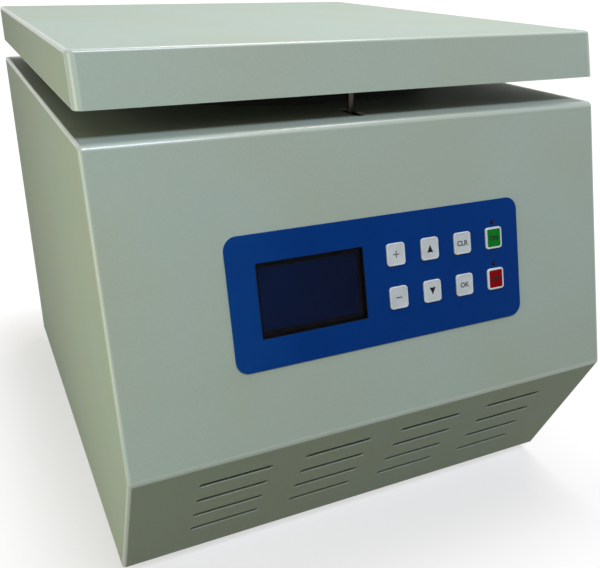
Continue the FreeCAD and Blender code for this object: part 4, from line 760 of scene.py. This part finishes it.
def litGlass(name):
    made, place, feed = startMaterial(name, Specular_IOR_Level=screen["shine"])
    low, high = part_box("display_window")
    across = place.node("SeparateXYZ", Vector=place)
    grain = place.noise(screen["grain"], 1.0)
    # painted reflection: the glass fades from paler at its left end to its own dark colour at the right
    base = across.fade(low.x, high.x).mix(screen["pale"], screen["glass"])
    base = (grain.ramp(0.4, 0.7) * 0.12).mix(base, screen["frame"])
    feed(Base_Color=base, Roughness=grain * 0.08 + 0.26)
    return made


paneMiddle, paneSize, paneReach = onFace("display_window")
holeSize = [side - 2 * screen["lap"] for side in paneSize]
screenFrame = mouldedPlastic("screenFrame", screen["frame"], 0.5, shine=screen["shine"])
dress("display_module", screenFrame)

bm = bmesh.new()
glassSize = [holeSize[0] - 2 * screen["side"], holeSize[1] - 2 * screen["end"]]
glassTop = paneReach[0] - screen["sunk"]
glassLow = glassTop - screen["sheet"]
glassMiddle = [middle + aside for middle, aside in zip(paneMiddle, screen["aside"])]
slab(bm, glassSize, screen["corner"], glassLow, glassTop, screen["ease"], glassMiddle)
finishPiece("screenGlass", facing(bm), litGlass("screenGlass"), "cabinet")

# the bead of painted shade along the window's cut edge
bm = bmesh.new()
shadeBeadSize = [side - shadeBead["slack"] for side in holeSize]
shadeBeadLow = paneReach[1] + shadeBead["slack"]
top = slab(bm, shadeBeadSize, shadeBead["corner"], shadeBeadLow, -shadeBead["below"], middle=paneMiddle)
bmesh.ops.inset_region(bm, faces=[top], thickness=shadeBead["wide"], depth=0)
bottom = min(bm.faces, key=lambda face: face.calc_center_median().z)
bmesh.ops.inset_region(bm, faces=[bottom], thickness=shadeBead["wide"], depth=0)
bmesh.ops.bridge_loops(bm, edges=list(top.edges) + list(bottom.edges))
bmesh.ops.delete(bm, geom=[top, bottom], context="FACES_ONLY")
bmesh.ops.recalc_face_normals(bm, faces=bm.faces)
shadeBeadFinish = mouldedPlastic("windowShadeBead", screen["edge"], 0.5, shine=screen["shine"])
finishPiece("windowShadeBead", facing(bm), shadeBeadFinish, "cabinet")

print("keys")
keyShape = {
    "corner": 2.5 * mm,
    "ease": 0.55 * mm,
    "rim": 0.9 * mm,
    "colourRim": 1.5 * mm,  # the white rim of the green and the red key
    "dip": 0.28 * mm,  # how far the plateau lies under the rim
    "skirt": 0.1 * mm,
    "stem": 4.0 * mm,
    "proudShare": 0.6,  # the share of a print's thickness that lies above its key
    "printThick": 0.05 * mm,
    "armThick": 0.75 * mm,
    "plusReach": 2.6 * mm,
    "arrowWide": 5.2 * mm,
    "arrowTall": 5.8 * mm,
    "arrowNotch": 0.88,
    "wordTall": 4.0 * mm,
}
keyColours = {
    "cap": (0.77, 0.84, 0.91),
    "plateau": (0.70, 0.76, 0.80),
    "green": (0.004, 0.230, 0.020),
    "red": (0.31, 0.0025, 0.006),
    "ink": (0.012, 0.012, 0.013),
    "greyInk": (0.07, 0.07, 0.075),
}
capFinish = mouldedPlastic("keyCap", keyColours["cap"], 0.42, shine=0.3)
plateauFinish = mouldedPlastic("keyPlateau", keyColours["plateau"], 0.5, shine=0.3)
greenFinish = mouldedPlastic("keyGreen", keyColours["green"], 0.4, shine=0.06)
redFinish = mouldedPlastic("keyRed", keyColours["red"], 0.4, shine=0.05)
inkFinish = mouldedPlastic("keyInk", keyColours["ink"], 0.5, shine=0.1)
greyFinish = mouldedPlastic("keyGreyInk", keyColours["greyInk"], 0.5, shine=0.2)
arm, thin = keyShape["plusReach"], keyShape["armThick"] / 2
wide, tall = keyShape["arrowWide"] / 2, keyShape["arrowTall"] / 2
minusPoints = [(-arm, -thin), (arm, -thin), (arm, thin), (-arm, thin)]
plusPoints = [
    (-arm, -thin), (-thin, -thin), (-thin, -arm), (thin, -arm), (thin, -thin), (arm, -thin),
    (arm, thin), (thin, thin), (thin, arm), (-thin, arm), (-thin, thin), (-arm, thin),
]
upPoints = [(-wide, -tall), (0, -tall * keyShape["arrowNotch"]), (wide, -tall), (0, tall)]
# each key: the finish of its plateau, its mark and the mark's ink
keys = {
    "key_plus": (plateauFinish, plusPoints, greyFinish),
    "key_minus": (plateauFinish, minusPoints, greyFinish),
    "key_up": (plateauFinish, upPoints, inkFinish),
    "key_down": (plateauFinish, [(-x, -y) for x, y in upPoints], inkFinish),
    "key_mode": (plateauFinish, "CLR", greyFinish),
    "key_enter": (plateauFinish, "OK", greyFinish),
    "key_start": (greenFinish, "ON", inkFinish),
    "key_stop": (redFinish, "OFF", inkFinish),
}
for node, (inner, mark, ink) in keys.items():
    middle, size, (low, high) = onFace(node)
    bm = bmesh.new()
    top = slab(bm, size, keyShape["corner"], -keyShape["skirt"], high, keyShape["ease"], middle)
    rim = keyShape["rim"] if inner is plateauFinish else keyShape["colourRim"]
    bmesh.ops.inset_region(bm, faces=[top], thickness=rim - keyShape["ease"], depth=0)
    bmesh.ops.inset_region(bm, faces=[top], thickness=keyShape["dip"], depth=-keyShape["dip"])
    for face in {face for edge in top.edges for face in edge.link_faces}:
        face.material_index = 1
    bmesh.ops.create_cone(
        bm,
        cap_ends=True,
        segments=32,
        radius1=keyShape["stem"],
        radius2=keyShape["stem"],
        depth=-keyShape["skirt"] - low,
        matrix=Matrix.Translation((*middle, (low - keyShape["skirt"]) / 2)),
    )
    name, body = camelName(node), bodyOf[node]
    finishPiece(name, facing(bm), [capFinish, inner], body, [node], sharp=50)
    if isinstance(mark, str):
        bm = word(mark, keyShape["wordTall"], keyShape["printThick"])
    else:
        bm = prism(bmesh.new(), mark, keyShape["printThick"])
    seat = high - keyShape["dip"] - keyShape["printThick"] * (1 - keyShape["proudShare"])
    bmesh.ops.translate(bm, vec=(*middle, seat), verts=bm.verts)
    finishPiece(name + "Mark", facing(bm), ink, body, weighted=False)

print("lamps, floor, world and camera")
studio = {
    "ambient": 0.17,
    "fill": (1.0, 0.95, 0.66),
    "floorTone": (0.93, 0.93, 0.93),
    "floorHalf": 12.0,
    "bounceTone": (0.085, 0.08, 0.025),  # what the floor throws back at the machine
    "contactGlow": 0.55,  # the floor's own light close to the feet, lower than further out: painted shade round the foot, in which the real shadow shows too
    "shadowReach": 0.13,  # from here on the floor is plain white
}
# each lamp: place, aim, its two sides in metres, power in watts and tint
lamps = {
    "overhead": ((0.45, 0.15, 1.7), (0.1, 0.0, 0.2), (1.3, 0.35), 13, (1, 0.93, 0.92)),
    "front": ((0.1, -1.45, 1.95), (0, -0.2, 0.2), (0.8, 0.5), 23, (0.8, 0.84, 1)),
    "left": ((-0.72, -0.36, 0.3), (-0.2, -0.1, 0.2), (0.3, 0.6), 1.7, (1, 0.97, 0.72)),
    "back": ((0.9, 1.0, 0.2), (0, 0.2, 0.2), (0.8, 0.35), 8, (1, 1, 1)),
}


def hangLamp(name, place, aim, sides, power, tint):
    lamp = bpy.data.lights.new(name, "AREA")
    lamp.shape = "RECTANGLE"
    lamp.size, lamp.size_y = sides
    lamp.energy = power
    lamp.color = tint
    hung = bpy.data.objects.new(name, lamp)
    hung.location = place
    hung.rotation_euler = (Vector(aim) - Vector(place)).to_track_quat("-Z", "Y").to_euler()
    bpy.context.scene.collection.objects.link(hung)


for name, lamp in lamps.items():
    hangLamp(name + "Lamp", *lamp)


def seenDirectly(start):
    # 1 for what the camera sees straight on, in a mirror or through glass
    camera, mirrored, through = (start.node("LightPath", out=k) for k in (0, 3, 6))
    return start.math("MAXIMUM", start.math("MAXIMUM", camera, mirrored), through)


bm = bmesh.new()
bmesh.ops.create_grid(bm, x_segments=1, y_segments=1, size=studio["floorHalf"])
mesh = bpy.data.meshes.new("floor")
bm.to_mesh(mesh)
bm.free()
floor = bpy.data.objects.new("floor", mesh)
bpy.context.scene.collection.objects.link(floor)
made, place, feed = startMaterial("floorPaper", Roughness=0.9, Emission_Strength=1.0)
seen = seenDirectly(place)
# how far a point of the floor lies from the machine's outline
foot = cadBox[1] - cadBox[0]
gap = place.node("VectorMath", {"operation": "ABSOLUTE"}, _0=place)
gap = gap.node("VectorMath", {"operation": "SUBTRACT"}, _0=gap, _1=(foot.x / 2, foot.y / 2, 1.0))
gap = gap.node("VectorMath", {"operation": "MAXIMUM"}, _0=gap, _1=(0.0, 0.0, 0.0))
away = gap.node("VectorMath", {"operation": "LENGTH"}, out=1, _0=gap).ramp(0.0, studio["shadowReach"])
# painted shade: the floor's own light falls off towards the machine's outline, where the lit floor with its real
# shadow makes up the rest
glow = seen * (away * (1 - studio["contactGlow"]) + studio["contactGlow"])
paper = glow.mix(studio["floorTone"], (0, 0, 0))
feed(Base_Color=seen.mix(studio["bounceTone"], paper), Emission_Color=glow.mix((0, 0, 0), (1, 1, 1)))
mesh.materials.append(made)

world = bpy.data.worlds.new("world")
bpy.context.scene.world = world
world.use_nodes = True
tree = world.node_tree
background = next(node for node in tree.nodes if node.type == "BACKGROUND")
sky = seenDirectly(Wire(tree)).mix(shade(studio["fill"], studio["ambient"]), (1, 1, 1))
tree.links.new(sky.socket, background.inputs["Color"])

view = {
    "place": (-0.26476, -0.64060, 0.44342),
    "turn": (66.2173, -0.6596, -25.0170),  # degrees
    "lens": 44.351,
    "sensor": 36,  # mm, as the lens
    "nearest": 0.01,
}
lens = bpy.data.cameras.new("camera")
lens.lens = view["lens"]
lens.sensor_width = view["sensor"]
lens.clip_start = view["nearest"]
eye = bpy.data.objects.new("camera", lens)
eye.location = view["place"]
eye.rotation_euler = [math.radians(angle) for angle in view["turn"]]
bpy.context.scene.collection.objects.link(eye)
bpy.context.scene.camera = eye
bpy.context.scene.view_settings.view_transform = "Standard"
